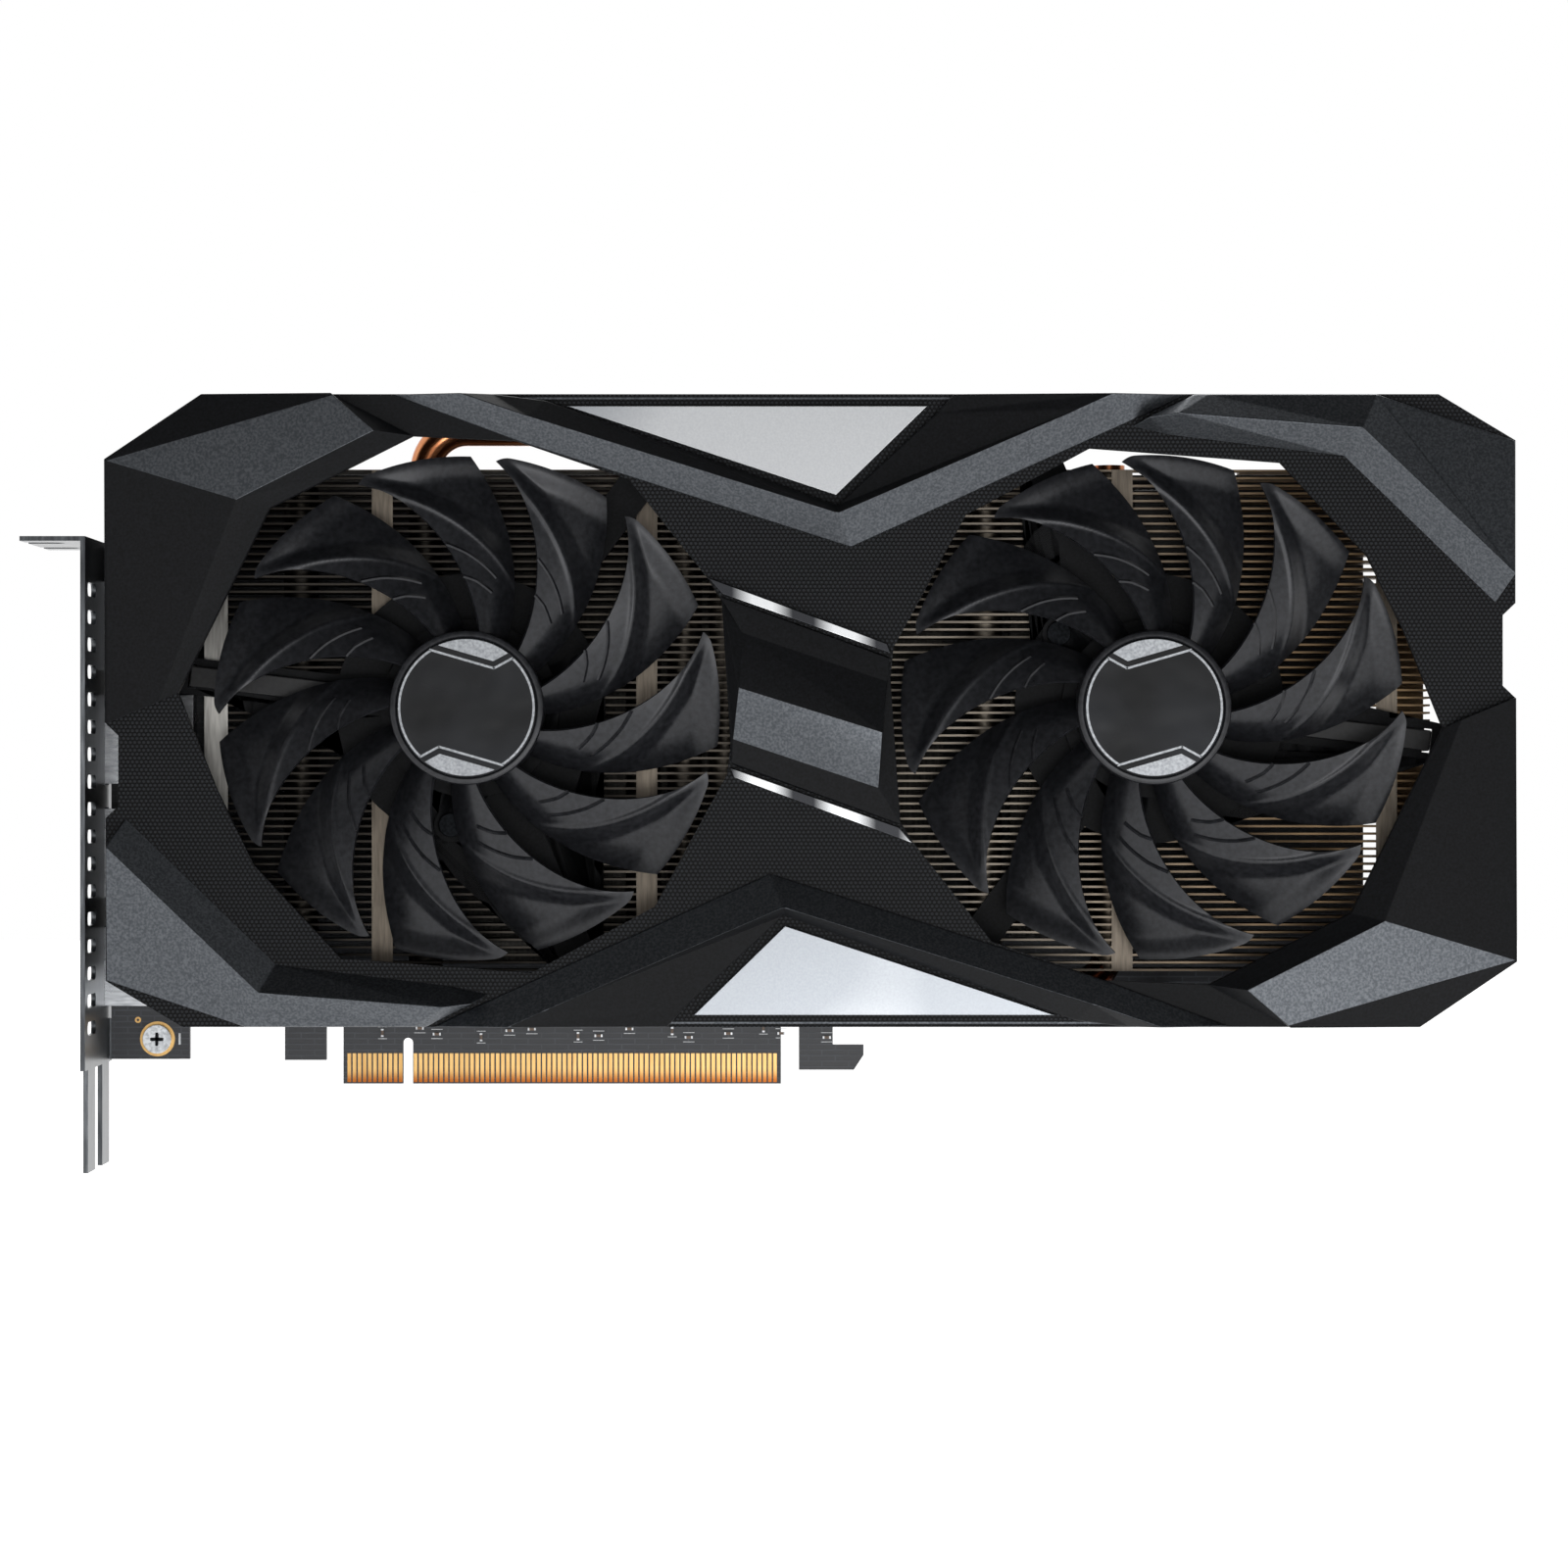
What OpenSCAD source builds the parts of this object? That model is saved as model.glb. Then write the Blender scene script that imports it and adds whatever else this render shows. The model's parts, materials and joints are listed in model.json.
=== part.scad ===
// Two-slot graphics card with two axial fans, upright on its edge connector.
// +X runs along the card away from the bracket, +Z up from the connector,
// and the fans face -Y. The origin is the connector's key notch, at the
// bottom of the contacts, on the middle plane of the circuit board.

/* [Cooler cover] */
// Length of the plastic cover
cooler_l = 266; // [222:1:320]
// Height of the plastic cover
cooler_h = 119.4; // [108:0.2:144]
// Wall of the cover
cover_wall = 1.8; // [1.2:0.1:2.4]
// How far the trims stand proud of the cover
trim_proud = 5; // [3:0.5:7]
// Depth of the cover's side walls
skirt_depth = 17; // [10:0.5:19]

/* [Fans] */
// Diameter over the blade tips
fan_d = 96; // [80:0.5:98]
// Diameter of the hub
hub_d = 29.2; // [26:0.2:36]
// Number of blades
blade_count = 11; // [7:1:13]
// Thickness of a blade
blade_t = 1; // [0.8:0.1:1.4]
// Diameter of the motor shaft
shaft_d = 3; // [2:0.1:3.6]
// Radial clearance of the shaft in its bearing
shaft_play = 0.04; // [0.01:0.01:0.1]

/* [Heatsink] */
// Distance from one fin to the next
fin_pitch = 1.45; // [1.2:0.05:3]
// Thickness of a fin
fin_t = 0.4; // [0.3:0.05:0.6]
// Diameter of a heat pipe
pipe_d = 6; // [5:0.1:6.4]
// Bend radius of a heat pipe at its middle line
pipe_bend = 8; // [7:0.1:8.2]

/* [Circuit board] */
// Thickness of the board
board_t = 1.57; // [1.2:0.01:1.8]
// Height of the board's top edge over the contacts
board_top = 111.2; // [100:0.1:118]
// Right end of the board, from the key notch
board_right = 186; // [182:1:200]
// Side of the processor package
package_w = 37.5; // [30:0.5:40]

/* [Bracket and backplate] */
// Thickness of the bracket's sheet
bracket_t = 0.9; // [0.7:0.05:1.2]
// Width of the bracket over two slots
bracket_w = 38.8; // [38:0.1:39]
// Thickness of the backplate
backplate_t = 1.5; // [1:0.1:2]
// Gap between the board and the backplate
backplate_gap = 1.7; // [1.2:0.1:2.2]

/* [Hidden] */
$fn = 48;
tiny = 0.01;

// Cover: its left and lower edges, its middle, and how far the styled outline is stretched
cooler_left = -54.8;
cooler_low = 12.5;
cooler_x = cooler_left + cooler_l / 2;
cooler_z = cooler_low + cooler_h / 2;
stretch_x = cooler_l / 266;
stretch_z = cooler_h / 119.4;
cover_front = -32;
cover_back = cover_front + cover_wall;
skirt_back = cover_back + skirt_depth - cover_wall;
silver_t = 1;

// Fans: places and levels along Y, front to back
fan_x = 65 * stretch_x;
fan_rise = 0.6;
fan_r = fan_d / 2;
hub_r = hub_d / 2;
hub_wall = 1.2;
badge_t = 0.6;
badge_sink = 0.5;
hub_front = -30.8;
hub_top = 2;
hub_back = -21.3;
yoke_t = 0.8;
yoke_r = hub_r - hub_wall;
magnet_t = 2;
magnet_r = yoke_r - yoke_t;
air_gap = 0.5;
stator_r = magnet_r - magnet_t - air_gap;
shaft_r = shaft_d / 2;
shaft_end = -19.1;
bearing_r = shaft_r + 1.6;
tube_r = bearing_r + 1.2;
blade_lead = -29.6;
blade_trail = -22.6;
blade_stations = 7;
blade_chords = 5;
root_lag = 35.5;
root_chord = 20;
tip_chord = 27;
tip_angle_left = 6.8;
tip_angle_right = -7.4;
base_front = -20.2;
base_back = -18.4;
base_r = 17;
ear_ring = 22.6;
ear_r = 3.2;
ear_t = 1;
ear_angle = 189.4;
fan_head_t = 0.8;
fan_board_t = 0.8;
arm_ring = 58;
arm_angle = 36.6;
arm_w = 7;
carrier_back = -16.7;
arm_head_t = 1;
lead_w = 4;
lead_t = 1;
lead_ring = 53.9;
lead_low = -3.3;
lead_slack = 0.3;
header_near = 37;
header_far = 43;
header_w = 6;
header_t = 4;

// Heatsink
fin_front = -16.5;
fin_back = -5.9;
fin_lead_gap = 51.2;
fin_left = cooler_x - fan_x - fin_lead_gap;
fin_inset = 14.2;
fin_right = cooler_left + cooler_l - fin_inset;
fin_bottom = 22.5;
fin_drop = 13.1;
fin_top = cooler_low + cooler_h - fin_drop;
fin_count = floor((fin_top - fin_bottom) / fin_pitch);
strip_w = 4;
strip_x = [-5.8, 44.9, 136, 186.7];
end_flange = 8.5;
pipe_r = pipe_d / 2;
pipe_y = fin_back - pipe_r;
pipe_end = 1.2;
stack_top = fin_bottom + fin_count * fin_pitch + fin_t;
pipe_low_z = fin_bottom - 3.5;
pipe_room = 0.4;
solder = 0.05;
top_pipes = [[4, 46], [70, 112]];
low_pipes = [[-20, 54], [62, 136]];

// Board, its parts and their heights over the board's face
board_half = board_t / 2;
board_left = -57.8;
board_bottom = 11.5;
face_y = -board_half;
gpu_x = 58;
gpu_z = 64;
package_t = 1.5;
die_w = 20;
die_t = 0.8;
paste = 0.1;
core_w = 44;
core_back = face_y - package_t - die_t - paste;
base_t = 2.5;
base_back_y = fin_back + base_t;
base_half_x = 46;
base_half_z = 40;
base_post_x = 42;
base_post_z = 36;
core_play = 0.1;
chip_w = 12;
chip_l = 14;
chip_t = 1.2;
chip_side = 34;
chip_pitch = 16;
chip_above = 32;
chip_apart = 10;
stage_x = 122;
stage_w = 5;
stage_l = 6;
stage_t = 0.9;
stage_count = 8;
stage_pitch = 8.8;
stage_bar = -3.2;
choke_x = 131;
choke_w = 7;
choke_t = 4;
can_x = 140;
can_d = 6.3;
can_t = 4.8;
notch_half = 0.95;
short_edge = 11.65;
long_edge = 71.65;
contact_pitch = 1;
contact_w = 0.7;
contact_l = 5.6;
contact_t = 0.05;
connector_x = 150;
cell = 4.2;
cell_hole = 3.4;
cells_x = 4;
cells_y = 2;
connector_wall = 0.9;
connector_h = 12.8;
pin_w = 0.9;
connector_w = cells_x * cell + 2 * connector_wall;
connector_d = cells_y * cell + 2 * connector_wall;
connector_z = board_top - 9;
connector_room = 1.6;

// Screws
screw_r = 1.25;
screw_play = 0.25;
head_r = 2.3;
head_t = 1.2;
post_r = 2.6;
pilot_r = 1.25;
post_thread = 12;
mount_half = 27.5;
mount_play = 0.4;
cover_posts = [[-47, 107.5], [-33, 16.2], [146, 16.2]];
retention_gap = 0.6;
retention_t = 1.2;
retention_w = 9;
spring_r = 2.4;
spring_wire = 0.8;
spring_l = 2;

// Backplate
backplate_front = board_half + backplate_gap;
backplate_back = backplate_front + backplate_t;
backplate_left = -53;
backplate_right = board_right - 1;
backplate_bottom = 14;
backplate_rise = 7.5;
backplate_top = board_top + backplate_rise;
backplate_cut = 9;
window_half = 35;
window_cut = 8;

// Bracket
bracket_out = -59.2;
bracket_in = bracket_out + bracket_t;
bracket_back = 4;
bracket_front = bracket_back - bracket_w;
bracket_top = 105;
bracket_foot = 4.3;
prong_tip = -15.2;
prong_w = 10.2;
slot_pitch = 20.32;
slot_y = -5.2;
tab_l = 11.43;
tab_notch_r = 2.21;
tab_notch_x = 6.35;
foot_l = 14.5;
foot_h = 8;
foot_screw = [-48.8, 8.7];
upper_screw = [-48.8, 100.5];
bracket_screw_r = 1.5;
bracket_head_r = 2.8;
bracket_head_t = 1.3;
vent_w = 2.6;
vent_pitch = 5.2;
vent_low = 12;
vent_count = 17;
vent_front = -31;
vent_back = -19.5;
socket_z = [23, 45, 67, 89];
socket_front = bracket_out - 0.4;
socket_deep = 18.5;
socket_wall = 0.5;
socket_h = 6.1;
socket_mouth = 11;
hdmi_w = 15.2;
dp_w = 17.2;
tongue_t = 1;
tongue_side = 2;
tongue_set = 1.5;
socket_play = 0.25;

// ---- helpers ----

// A flat shape drawn in X and Z, as thick as the span from y_front to y_back
module slab(y_front, y_back) {
    translate([0, y_back, 0]) rotate([90, 0, 0]) linear_extrude(y_back - y_front) children();
}

// A round rod along Y
module rod(r, y_front, y_back) {
    translate([0, y_back, 0]) rotate([90, 0, 0]) cylinder(h = y_back - y_front, r = r);
}

module tube(r_out, r_in, y_front, y_back) {
    difference() {
        rod(r_out, y_front, y_back);
        rod(r_in, y_front - 1, y_back + 1);
    }
}

module box(low, high) {
    translate(low) cube(high - low);
}

module at_xz(p) {
    translate([p[0], 0, p[1]]) children();
}

// The same piece, turned half a turn about the cover's middle
module half_turned() {
    translate([2 * cooler_x, 0, 2 * cooler_z]) rotate([0, 180, 0]) children();
}

// Cover coordinates: along and up from its middle, then proud of its face
function flat_at(p) = [cooler_x + p[0] * stretch_x, cooler_z + p[1] * stretch_z];
function proud_at(p) = [flat_at(p)[0], cover_front - p[2] * trim_proud, flat_at(p)[1]];
function turned(points) = [for (p = points) [-p[0], -p[1]]];

// A closed skin through rings of equal count, each turning right-handed
// about the way the rings advance
module loft(rings) {
    n = len(rings);
    m = len(rings[0]);
    last = (n - 1) * m;
    sides = [
        for (i = [0 : n - 2], j = [0 : m - 1])
            let (k = (j + 1) % m, a = i * m + j, b = i * m + k, c = b + m, d = a + m)
                each [[a, c, b], [a, d, c]]
    ];
    caps = [for (j = [1 : m - 2]) each [[0, j, j + 1], [last, last + j + 1, last + j]]];
    polyhedron([for (r = rings) each r], concat(sides, caps), convexity = 8);
}

// A faceted trim: each station is the section's points, on the cover's face and proud of it
module trim(stations) {
    loft([for (s = stations) [for (p = s) proud_at(p)]]);
}

// ---- cover ----

function outline() = concat(half_outline(), turned(half_outline()));
function half_outline() = [
    [-133, -20.3], [-130.6, -18], [-130.6, -4.7], [-133, -2.4],
    [-133, 47.3], [-115, 59.7], [118.5, 59.7], [133, 51]
];
function opening() = [
    [-102, 38.2], [-75, 51.8], [-55.5, 50.9], [-34.2, 43.6], [-19.3, 24.8], [-12.9, 14.3],
    [-15.7, -12], [-29.4, -37], [-52.7, -49.5], [-88.6, -46.8], [-105, -29.2],
    [-112, -15], [-119.3, 3.3]
];
function placed(points) = [for (p = points) flat_at(p)];

// The outline pulled in by a wall, its width and height set separately
function inset_outline(wall) = [
    for (p = outline())
        let (
            half_l = cooler_l / 2,
            half_h = cooler_h / 2,
            q = flat_at(p) - [cooler_x, cooler_z]
        )
            [cooler_x + q[0] * (half_l - wall) / half_l, cooler_z + q[1] * (half_h - wall) / half_h]
];

function arm_place(side, i) =
    let (a = arm_angle + 120 * i + (side > 0 ? 180 : 0))
        fan_place(side) + arm_ring * [sin(a), cos(a)];
function fan_place(side) = [cooler_x + side * fan_x, cooler_z + fan_rise];

module shroud() {
    color("#161719") difference() {
        union() {
            slab(cover_front, cover_back) polygon(placed(outline()));
            slab(cover_back - tiny, skirt_back) difference() {
                polygon(placed(outline()));
                polygon(inset_outline(cover_wall));
            }
            for (side = [-1, 1], i = [0 : 2])
                at_xz(arm_place(side, i)) rod(3, cover_back - tiny, base_back);
            for (p = cover_posts)
                at_xz(p) rod(post_r, cover_back - tiny, face_y);
        }
        slab(cover_front - 1, cover_back + 1) polygon(placed(opening()));
        slab(cover_front - 1, cover_back + 1) polygon(placed(turned(opening())));
        for (side = [-1, 1], i = [0 : 2])
            at_xz(arm_place(side, i)) rod(pilot_r, cover_back + 2, base_back + 1);
        for (p = cover_posts)
            at_xz(p) rod(pilot_r, -14, 1);
        // the left and right ends are open behind the front for the air to leave
        for (x = [cooler_x - cooler_l / 2 - 1, cooler_x + cooler_l / 2 - cover_wall - 5])
            box([x, cover_back + 3, cooler_z - 40], [x + cover_wall + 6, skirt_back + 1, cooler_z + 36]);
    }
}

// Sections run from the outer edge over the ridge to the fan opening
module corner_cover() {
    trim([
        [[-133, -2.4, 0], [-133, -2.4, 0.2], [-132.6, -2.4, 0.25],
            [-122.6, 1.7, 0.4], [-119.3, 3.3, 0.1], [-119.3, 3.3, 0]],
        [[-133, 47.3, 0], [-133, 47.3, 0.48], [-132.6, 47, 0.5],
            [-107.9, 39.6, 0.77], [-102, 38.2, 0.1], [-102, 38.2, 0]],
        [[-115, 59.7, 0], [-115, 59.7, 0.05], [-111, 53.2, 0.61],
            [-95, 46.1, 0.81], [-88.5, 45, 0.1], [-88.5, 45, 0]],
        [[-90.2, 59.7, 0], [-90.2, 59.7, 0.71], [-89.8, 59.3, 0.72],
            [-82, 52.6, 0.85], [-75, 51.8, 0.1], [-75, 51.8, 0]]
    ]);
}

module edge_trim() {
    trim([
        [[-129.3, -20.3, 0], [-132.4, -25.6, 1], [-132.9, -50.9, 0.1], [-132.9, -50.9, 0]],
        [[-100.8, -47.9, 0], [-103.6, -53.1, 1], [-106.7, -59.6, 0.2], [-106.7, -59.6, 0]],
        [[-67.9, -51.9, 0], [-69.2, -55.8, 1], [-75.1, -59.6, 0.2], [-75.1, -59.6, 0]],
        [[-60.6, -53.5, 0], [-63.7, -55.2, 0.7], [-72.4, -59.6, 0.1], [-72.4, -59.6, 0]]
    ]);
}

// The V bar: upper edge beside the silver plate, ridge, then the lower edge on the face
module v_trim() {
    trim([
        [[-60, 59.6, 0], [-60, 59.6, 0.3], [-66, 59.6, 0.9], [-79, 59.6, 0.1], [-79, 59.6, 0]],
        [[-50, 58.4, 0], [-50, 58.4, 0.3], [-53, 55.2, 0.95], [-55.5, 50.9, 0.1], [-55.5, 50.9, 0]],
        [[5.1, 38.6, 0], [5.1, 38.6, 0.3], [5.1, 37, 1], [7.6, 30.8, 0.1], [7.6, 30.8, 0]],
        [[23.8, 56, 0], [23.8, 56, 0.3], [50.5, 56.6, 0.95], [65.3, 56.8, 0.1], [65.3, 56.8, 0]],
        [[27, 59.6, 0], [27, 59.6, 0.3], [57, 59.6, 0.9], [71, 59.6, 0.1], [71, 59.6, 0]]
    ]);
}

module silver_plate() {
    color("#9aa0a6") slab(cover_front - silver_t, cover_front)
        polygon(placed([[-46, 57.4], [4.8, 40.6], [22, 57.4]]));
}

module bridge() {
    color("#2a2c2f") trim([
        [[-16.8, 21.5, 0], [-17, 21.4, 0.2], [-12.8, 14.6, 0.3], [-13.5, 4.2, 1],
            [-14.6, -5.4, 0.3], [-14.9, -9.8, 0.2], [-14.8, -10.2, 0]],
        [[14.8, 10.2, 0], [14.9, 9.8, 0.2], [14.6, 5.4, 0.3], [13.5, -4.2, 1],
            [12.8, -14.6, 0.3], [17, -21.4, 0.2], [16.8, -21.5, 0]]
    ]);
}

module strip() {
    slab(cover_front - silver_t, cover_front)
        polygon(placed([[-19.2, 25], [14.4, 12.6], [15.1, 10.8], [-16.6, 22]]));
}

module corner_cover_left() {
    color("#2c2e31") corner_cover();
}

module corner_cover_right() {
    color("#2c2e31") half_turned() corner_cover();
}

module edge_trim_left() {
    color("#3a3c40") edge_trim();
}

module edge_trim_right() {
    color("#3a3c40") half_turned() edge_trim();
}

module v_trim_upper() {
    color("#3a3c40") v_trim();
}

module v_trim_lower() {
    color("#3a3c40") half_turned() v_trim();
}

module silver_plate_upper() {
    silver_plate();
}

module silver_plate_lower() {
    half_turned() silver_plate();
}

module centre_bridge() {
    bridge();
}

module silver_strips() {
    color("#b9bdc2") {
        strip();
        half_turned() strip();
    }
}

// ---- fans; every piece is drawn about its own fan's axis ----

module at_fan(side) {
    at_xz(fan_place(side)) children();
}

// A blade's skin: a point at share t of its length and share s of its chord
function blade_point(tip_angle, t, s, back) =
    let (
        r = (1 - t) * (hub_r - 0.6) + t * fan_r,
        a = tip_angle + (1 - t) * root_lag + s * ((1 - t) * root_chord + t * tip_chord),
        y = (1 - s) * blade_lead + s * blade_trail - 0.8 * sin(180 * s)
    )
        [r * sin(a), y + back, r * cos(a)];

module blade(tip_angle) {
    last = blade_chords - 1;
    loft([
        for (i = [0 : blade_stations - 1])
            let (t = i / (blade_stations - 1))
                concat(
                    [for (j = [0 : last]) blade_point(tip_angle, t, j / last, 0)],
                    [for (j = [last : -1 : 0]) blade_point(tip_angle, t, j / last, blade_t)]
                )
    ]);
}

module impeller(tip_angle) {
    color("#1b1c1f") {
        difference() {
            rod(hub_r, hub_front, hub_back);
            rod(hub_r - hub_wall, hub_front - 1, hub_front + badge_sink);
            rod(yoke_r, hub_front + hub_top, hub_back + 1);
            rod(shaft_r, hub_front + badge_sink + 0.6, hub_back + 1);
        }
        for (i = [0 : blade_count - 1])
            blade(tip_angle + 360 * i / blade_count);
    }
}

module rotor_yoke() {
    color("#8d9196") difference() {
        rod(yoke_r, hub_front + hub_top, hub_back - 0.3);
        rod(magnet_r, hub_front + hub_top + yoke_t, hub_back + 1);
        rod(shaft_r, hub_front, hub_back + 1);
    }
}

module magnet_ring() {
    color("#3b3735") tube(magnet_r, magnet_r - magnet_t, hub_front + hub_top + yoke_t, hub_back - 0.6);
}

module shaft() {
    color("#c9ccd0") rod(shaft_r, hub_front + badge_sink + 0.6, shaft_end);
}

module hub_badge() {
    color("#0f1012") rod(hub_r - hub_wall - 0.1, hub_front + badge_sink - badge_t, hub_front + badge_sink);
}

module fan_base(turn) {
    color("#1a1b1d") difference() {
        union() {
            rod(base_r, base_front, base_back);
            rod(tube_r, hub_front + hub_top + yoke_t + 1.8, base_front + tiny);
            for (i = [0 : 2])
                rotate([0, turn + 120 * i, 0]) {
                    translate([0, 0, ear_ring]) rod(ear_r, base_back - ear_t, base_back);
                    box([0.5 - ear_r, base_back - ear_t, base_r - 2], [ear_r - 0.5, base_back, ear_ring]);
                }
        }
        rod(bearing_r, hub_front, base_back - 0.6);
        for (i = [0 : 2])
            rotate([0, turn + 120 * i, 0]) translate([0, 0, ear_ring])
                rod(screw_r + screw_play, base_front - 1, base_back + 1);
    }
}

module bearing() {
    color("#a9793f") difference() {
        rod(bearing_r, hub_front + hub_top + yoke_t + 2, base_back - 0.6);
        rod(shaft_r + shaft_play, hub_front, shaft_end + 0.2);
    }
}

module stator() {
    teeth = 4;
    color("#8a4f2a") difference() {
        union() {
            rod(stator_r * 0.55, -26.6, -22.4);
            for (i = [0 : teeth - 1])
                rotate([0, i * 360 / teeth + 22.5, 0]) {
                    box([-1.6, -26.2, 2], [1.6, -22.8, stator_r - 0.6]);
                    intersection() {
                        tube(stator_r, stator_r - 1.2, -26.6, -22.4);
                        box([-6, -27, 2], [6, -22, stator_r + 1]);
                    }
                }
        }
        rod(tube_r, -30, -20);
    }
}

module fan_board() {
    color("#1f5a36") tube(stator_r, tube_r + 0.4, base_front - fan_board_t, base_front);
}

// Turns what is drawn up the page onto arm i of a fan's carrier
module on_arm(side, i) {
    rotate([0, arm_angle + (side > 0 ? 180 : 0) + 120 * i, 0]) children();
}

// The three-armed carrier that holds a fan behind the cover
module fan_carrier(side) {
    color("#202225") difference() {
        union() {
            on_arm(side, 0) rod(ear_ring + ear_r, base_back, carrier_back);
            for (i = [0 : 2])
                on_arm(side, i) {
                    box([-arm_w / 2, base_back, base_r], [arm_w / 2, carrier_back, arm_ring]);
                    translate([0, 0, arm_ring]) rod(arm_w / 2 + 0.6, base_back, carrier_back);
                }
        }
        on_arm(side, 0) rod(base_r - 4, base_back - 1, carrier_back + 1);
        for (i = [0 : 2]) {
            on_arm(side, i) translate([0, 0, arm_ring]) {
                rod(screw_r + screw_play, base_back - 1, carrier_back + 1);
                rod(head_r + screw_play, carrier_back - arm_head_t, carrier_back + 1);
            }
            rotate([0, ear_angle + 120 * i, 0]) translate([0, 0, ear_ring])
                rod(screw_r, base_back - 1, carrier_back + 1);
        }
        on_arm(side, 2)
            box(
                [-lead_w / 2 - lead_slack, base_back - 1, lead_ring - lead_t - lead_slack],
                [lead_w / 2 + lead_slack, carrier_back + 1, lead_ring + lead_slack]
            );
    }
}

// A flat lead along the carrier's outer arm, round the end of the fins and in to its header
module fan_lead(side) {
    half = lead_w / 2;
    color("#141414") on_arm(side, 2) {
        box([-half, base_back - lead_t, base_r], [half, base_back, lead_ring]);
        box([-half, base_back - lead_t, lead_ring - lead_t], [half, lead_low, lead_ring]);
        box([-half, lead_low - lead_t, header_far], [half, lead_low, lead_ring]);
    }
}

module fan_header(side) {
    on_arm(side, 2)
        box([-header_w / 2, face_y - header_t, header_near], [header_w / 2, face_y, header_far]);
}

module impeller_left() {
    at_fan(-1) impeller(tip_angle_left);
}

module rotor_yoke_left() {
    at_fan(-1) rotor_yoke();
}

module magnet_ring_left() {
    at_fan(-1) magnet_ring();
}

module shaft_left() {
    at_fan(-1) shaft();
}

module hub_badge_left() {
    at_fan(-1) hub_badge();
}

module fan_base_left() {
    at_fan(-1) fan_base(ear_angle);
}

module bearing_left() {
    at_fan(-1) bearing();
}

module stator_left() {
    at_fan(-1) stator();
}

module fan_board_left() {
    at_fan(-1) fan_board();
}

module fan_carrier_left() {
    at_fan(-1) fan_carrier(-1);
}

module impeller_right() {
    at_fan(1) impeller(tip_angle_right);
}

module rotor_yoke_right() {
    at_fan(1) rotor_yoke();
}

module magnet_ring_right() {
    at_fan(1) magnet_ring();
}

module shaft_right() {
    at_fan(1) shaft();
}

module hub_badge_right() {
    at_fan(1) hub_badge();
}

module fan_base_right() {
    at_fan(1) fan_base(ear_angle);
}

module bearing_right() {
    at_fan(1) bearing();
}

module stator_right() {
    at_fan(1) stator();
}

module fan_board_right() {
    at_fan(1) fan_board();
}

module fan_carrier_right() {
    at_fan(1) fan_carrier(1);
}

module fan_lead_left() {
    at_fan(-1) fan_lead(-1);
}

module fan_lead_right() {
    at_fan(1) fan_lead(1);
}

module fan_screws() {
    color("#b4b7bb") for (side = [-1, 1], i = [0 : 2])
        at_fan(side) rotate([0, ear_angle + 120 * i, 0]) translate([0, 0, ear_ring]) {
            rod(head_r, base_back - ear_t - fan_head_t, base_back - ear_t);
            rod(screw_r, base_back - ear_t - tiny, carrier_back);
        }
}

module carrier_screws() {
    color("#b4b7bb") for (side = [-1, 1], i = [0 : 2])
        at_xz(arm_place(side, i)) {
            rod(head_r, carrier_back - arm_head_t, carrier_back);
            rod(screw_r, cover_back + 3, carrier_back - arm_head_t + tiny);
        }
}

// ---- heatsink ----

function pipe_legs() = [for (pair = concat(top_pipes, low_pipes)) each pair];
function lead_height() = fan_place(1)[1] + lead_ring * cos(arm_angle + 60);
function lead_reach() = fan_place(1)[0] + lead_ring * sin(arm_angle + 60);

// One fin's outline, with the room that the parts behind the stack need at this height
module fin_outline(z) {
    difference() {
        translate([fin_left, fin_front]) square([fin_right - fin_left, fin_back - fin_front]);
        for (x = pipe_legs())
            translate([x, pipe_y]) circle(pipe_r + solder);
        if (z < pipe_low_z + pipe_bend + pipe_room)
            for (pair = low_pipes)
                translate([pair[0] - pipe_r - pipe_room, pipe_y - pipe_r - pipe_room])
                    square([pair[1] - pair[0] + 2 * (pipe_r + pipe_room), pipe_d + 2]);
        if (z + fin_t > connector_z - connector_room)
            translate([
                connector_x - connector_w / 2 - connector_room,
                face_y - connector_d - connector_room
            ])
                square([connector_w + 2 * connector_room, connector_d + connector_room]);
        if (abs(z - lead_height()) < lead_w / 2 + 1)
            translate([lead_reach() - lead_t - lead_slack - 1, fin_front - 1])
                square([fin_right - fin_left, fin_back - fin_front + 2]);
    }
}

module fins() {
    color("#8b8378") {
        for (i = [0 : fin_count])
            let (z = fin_bottom + i * fin_pitch)
                translate([0, 0, z]) linear_extrude(fin_t) fin_outline(z);
        for (x = strip_x)
            box([x, fin_front, fin_bottom], [x + strip_w, fin_front + fin_t, stack_top]);
        difference() {
            box([fin_right - end_flange, fin_back - fin_t, fin_bottom], [fin_right, fin_back, stack_top]);
            box(
                [lead_reach() - lead_t - lead_slack - 1, fin_front, lead_height() - lead_w / 2 - fin_pitch],
                [fin_right + 1, fin_back + 1, lead_height() + lead_w / 2 + fin_pitch]
            );
        }
    }
}

// A quarter bend in the plane of the pipes, about a centre, from a starting angle
module quarter_bend(x, z, from) {
    translate([x, pipe_y, z]) rotate([90, 0, 0]) rotate([0, 0, from])
        rotate_extrude(angle = 90) translate([pipe_bend, 0]) circle(pipe_r);
}

module leg(x, z_low, z_high) {
    translate([x, pipe_y, z_low]) cylinder(h = z_high - z_low, r = pipe_r);
}

module run(x_left, x_right, z) {
    translate([x_left, pipe_y, z]) rotate([0, 90, 0]) cylinder(h = x_right - x_left, r = pipe_r);
}

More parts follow.
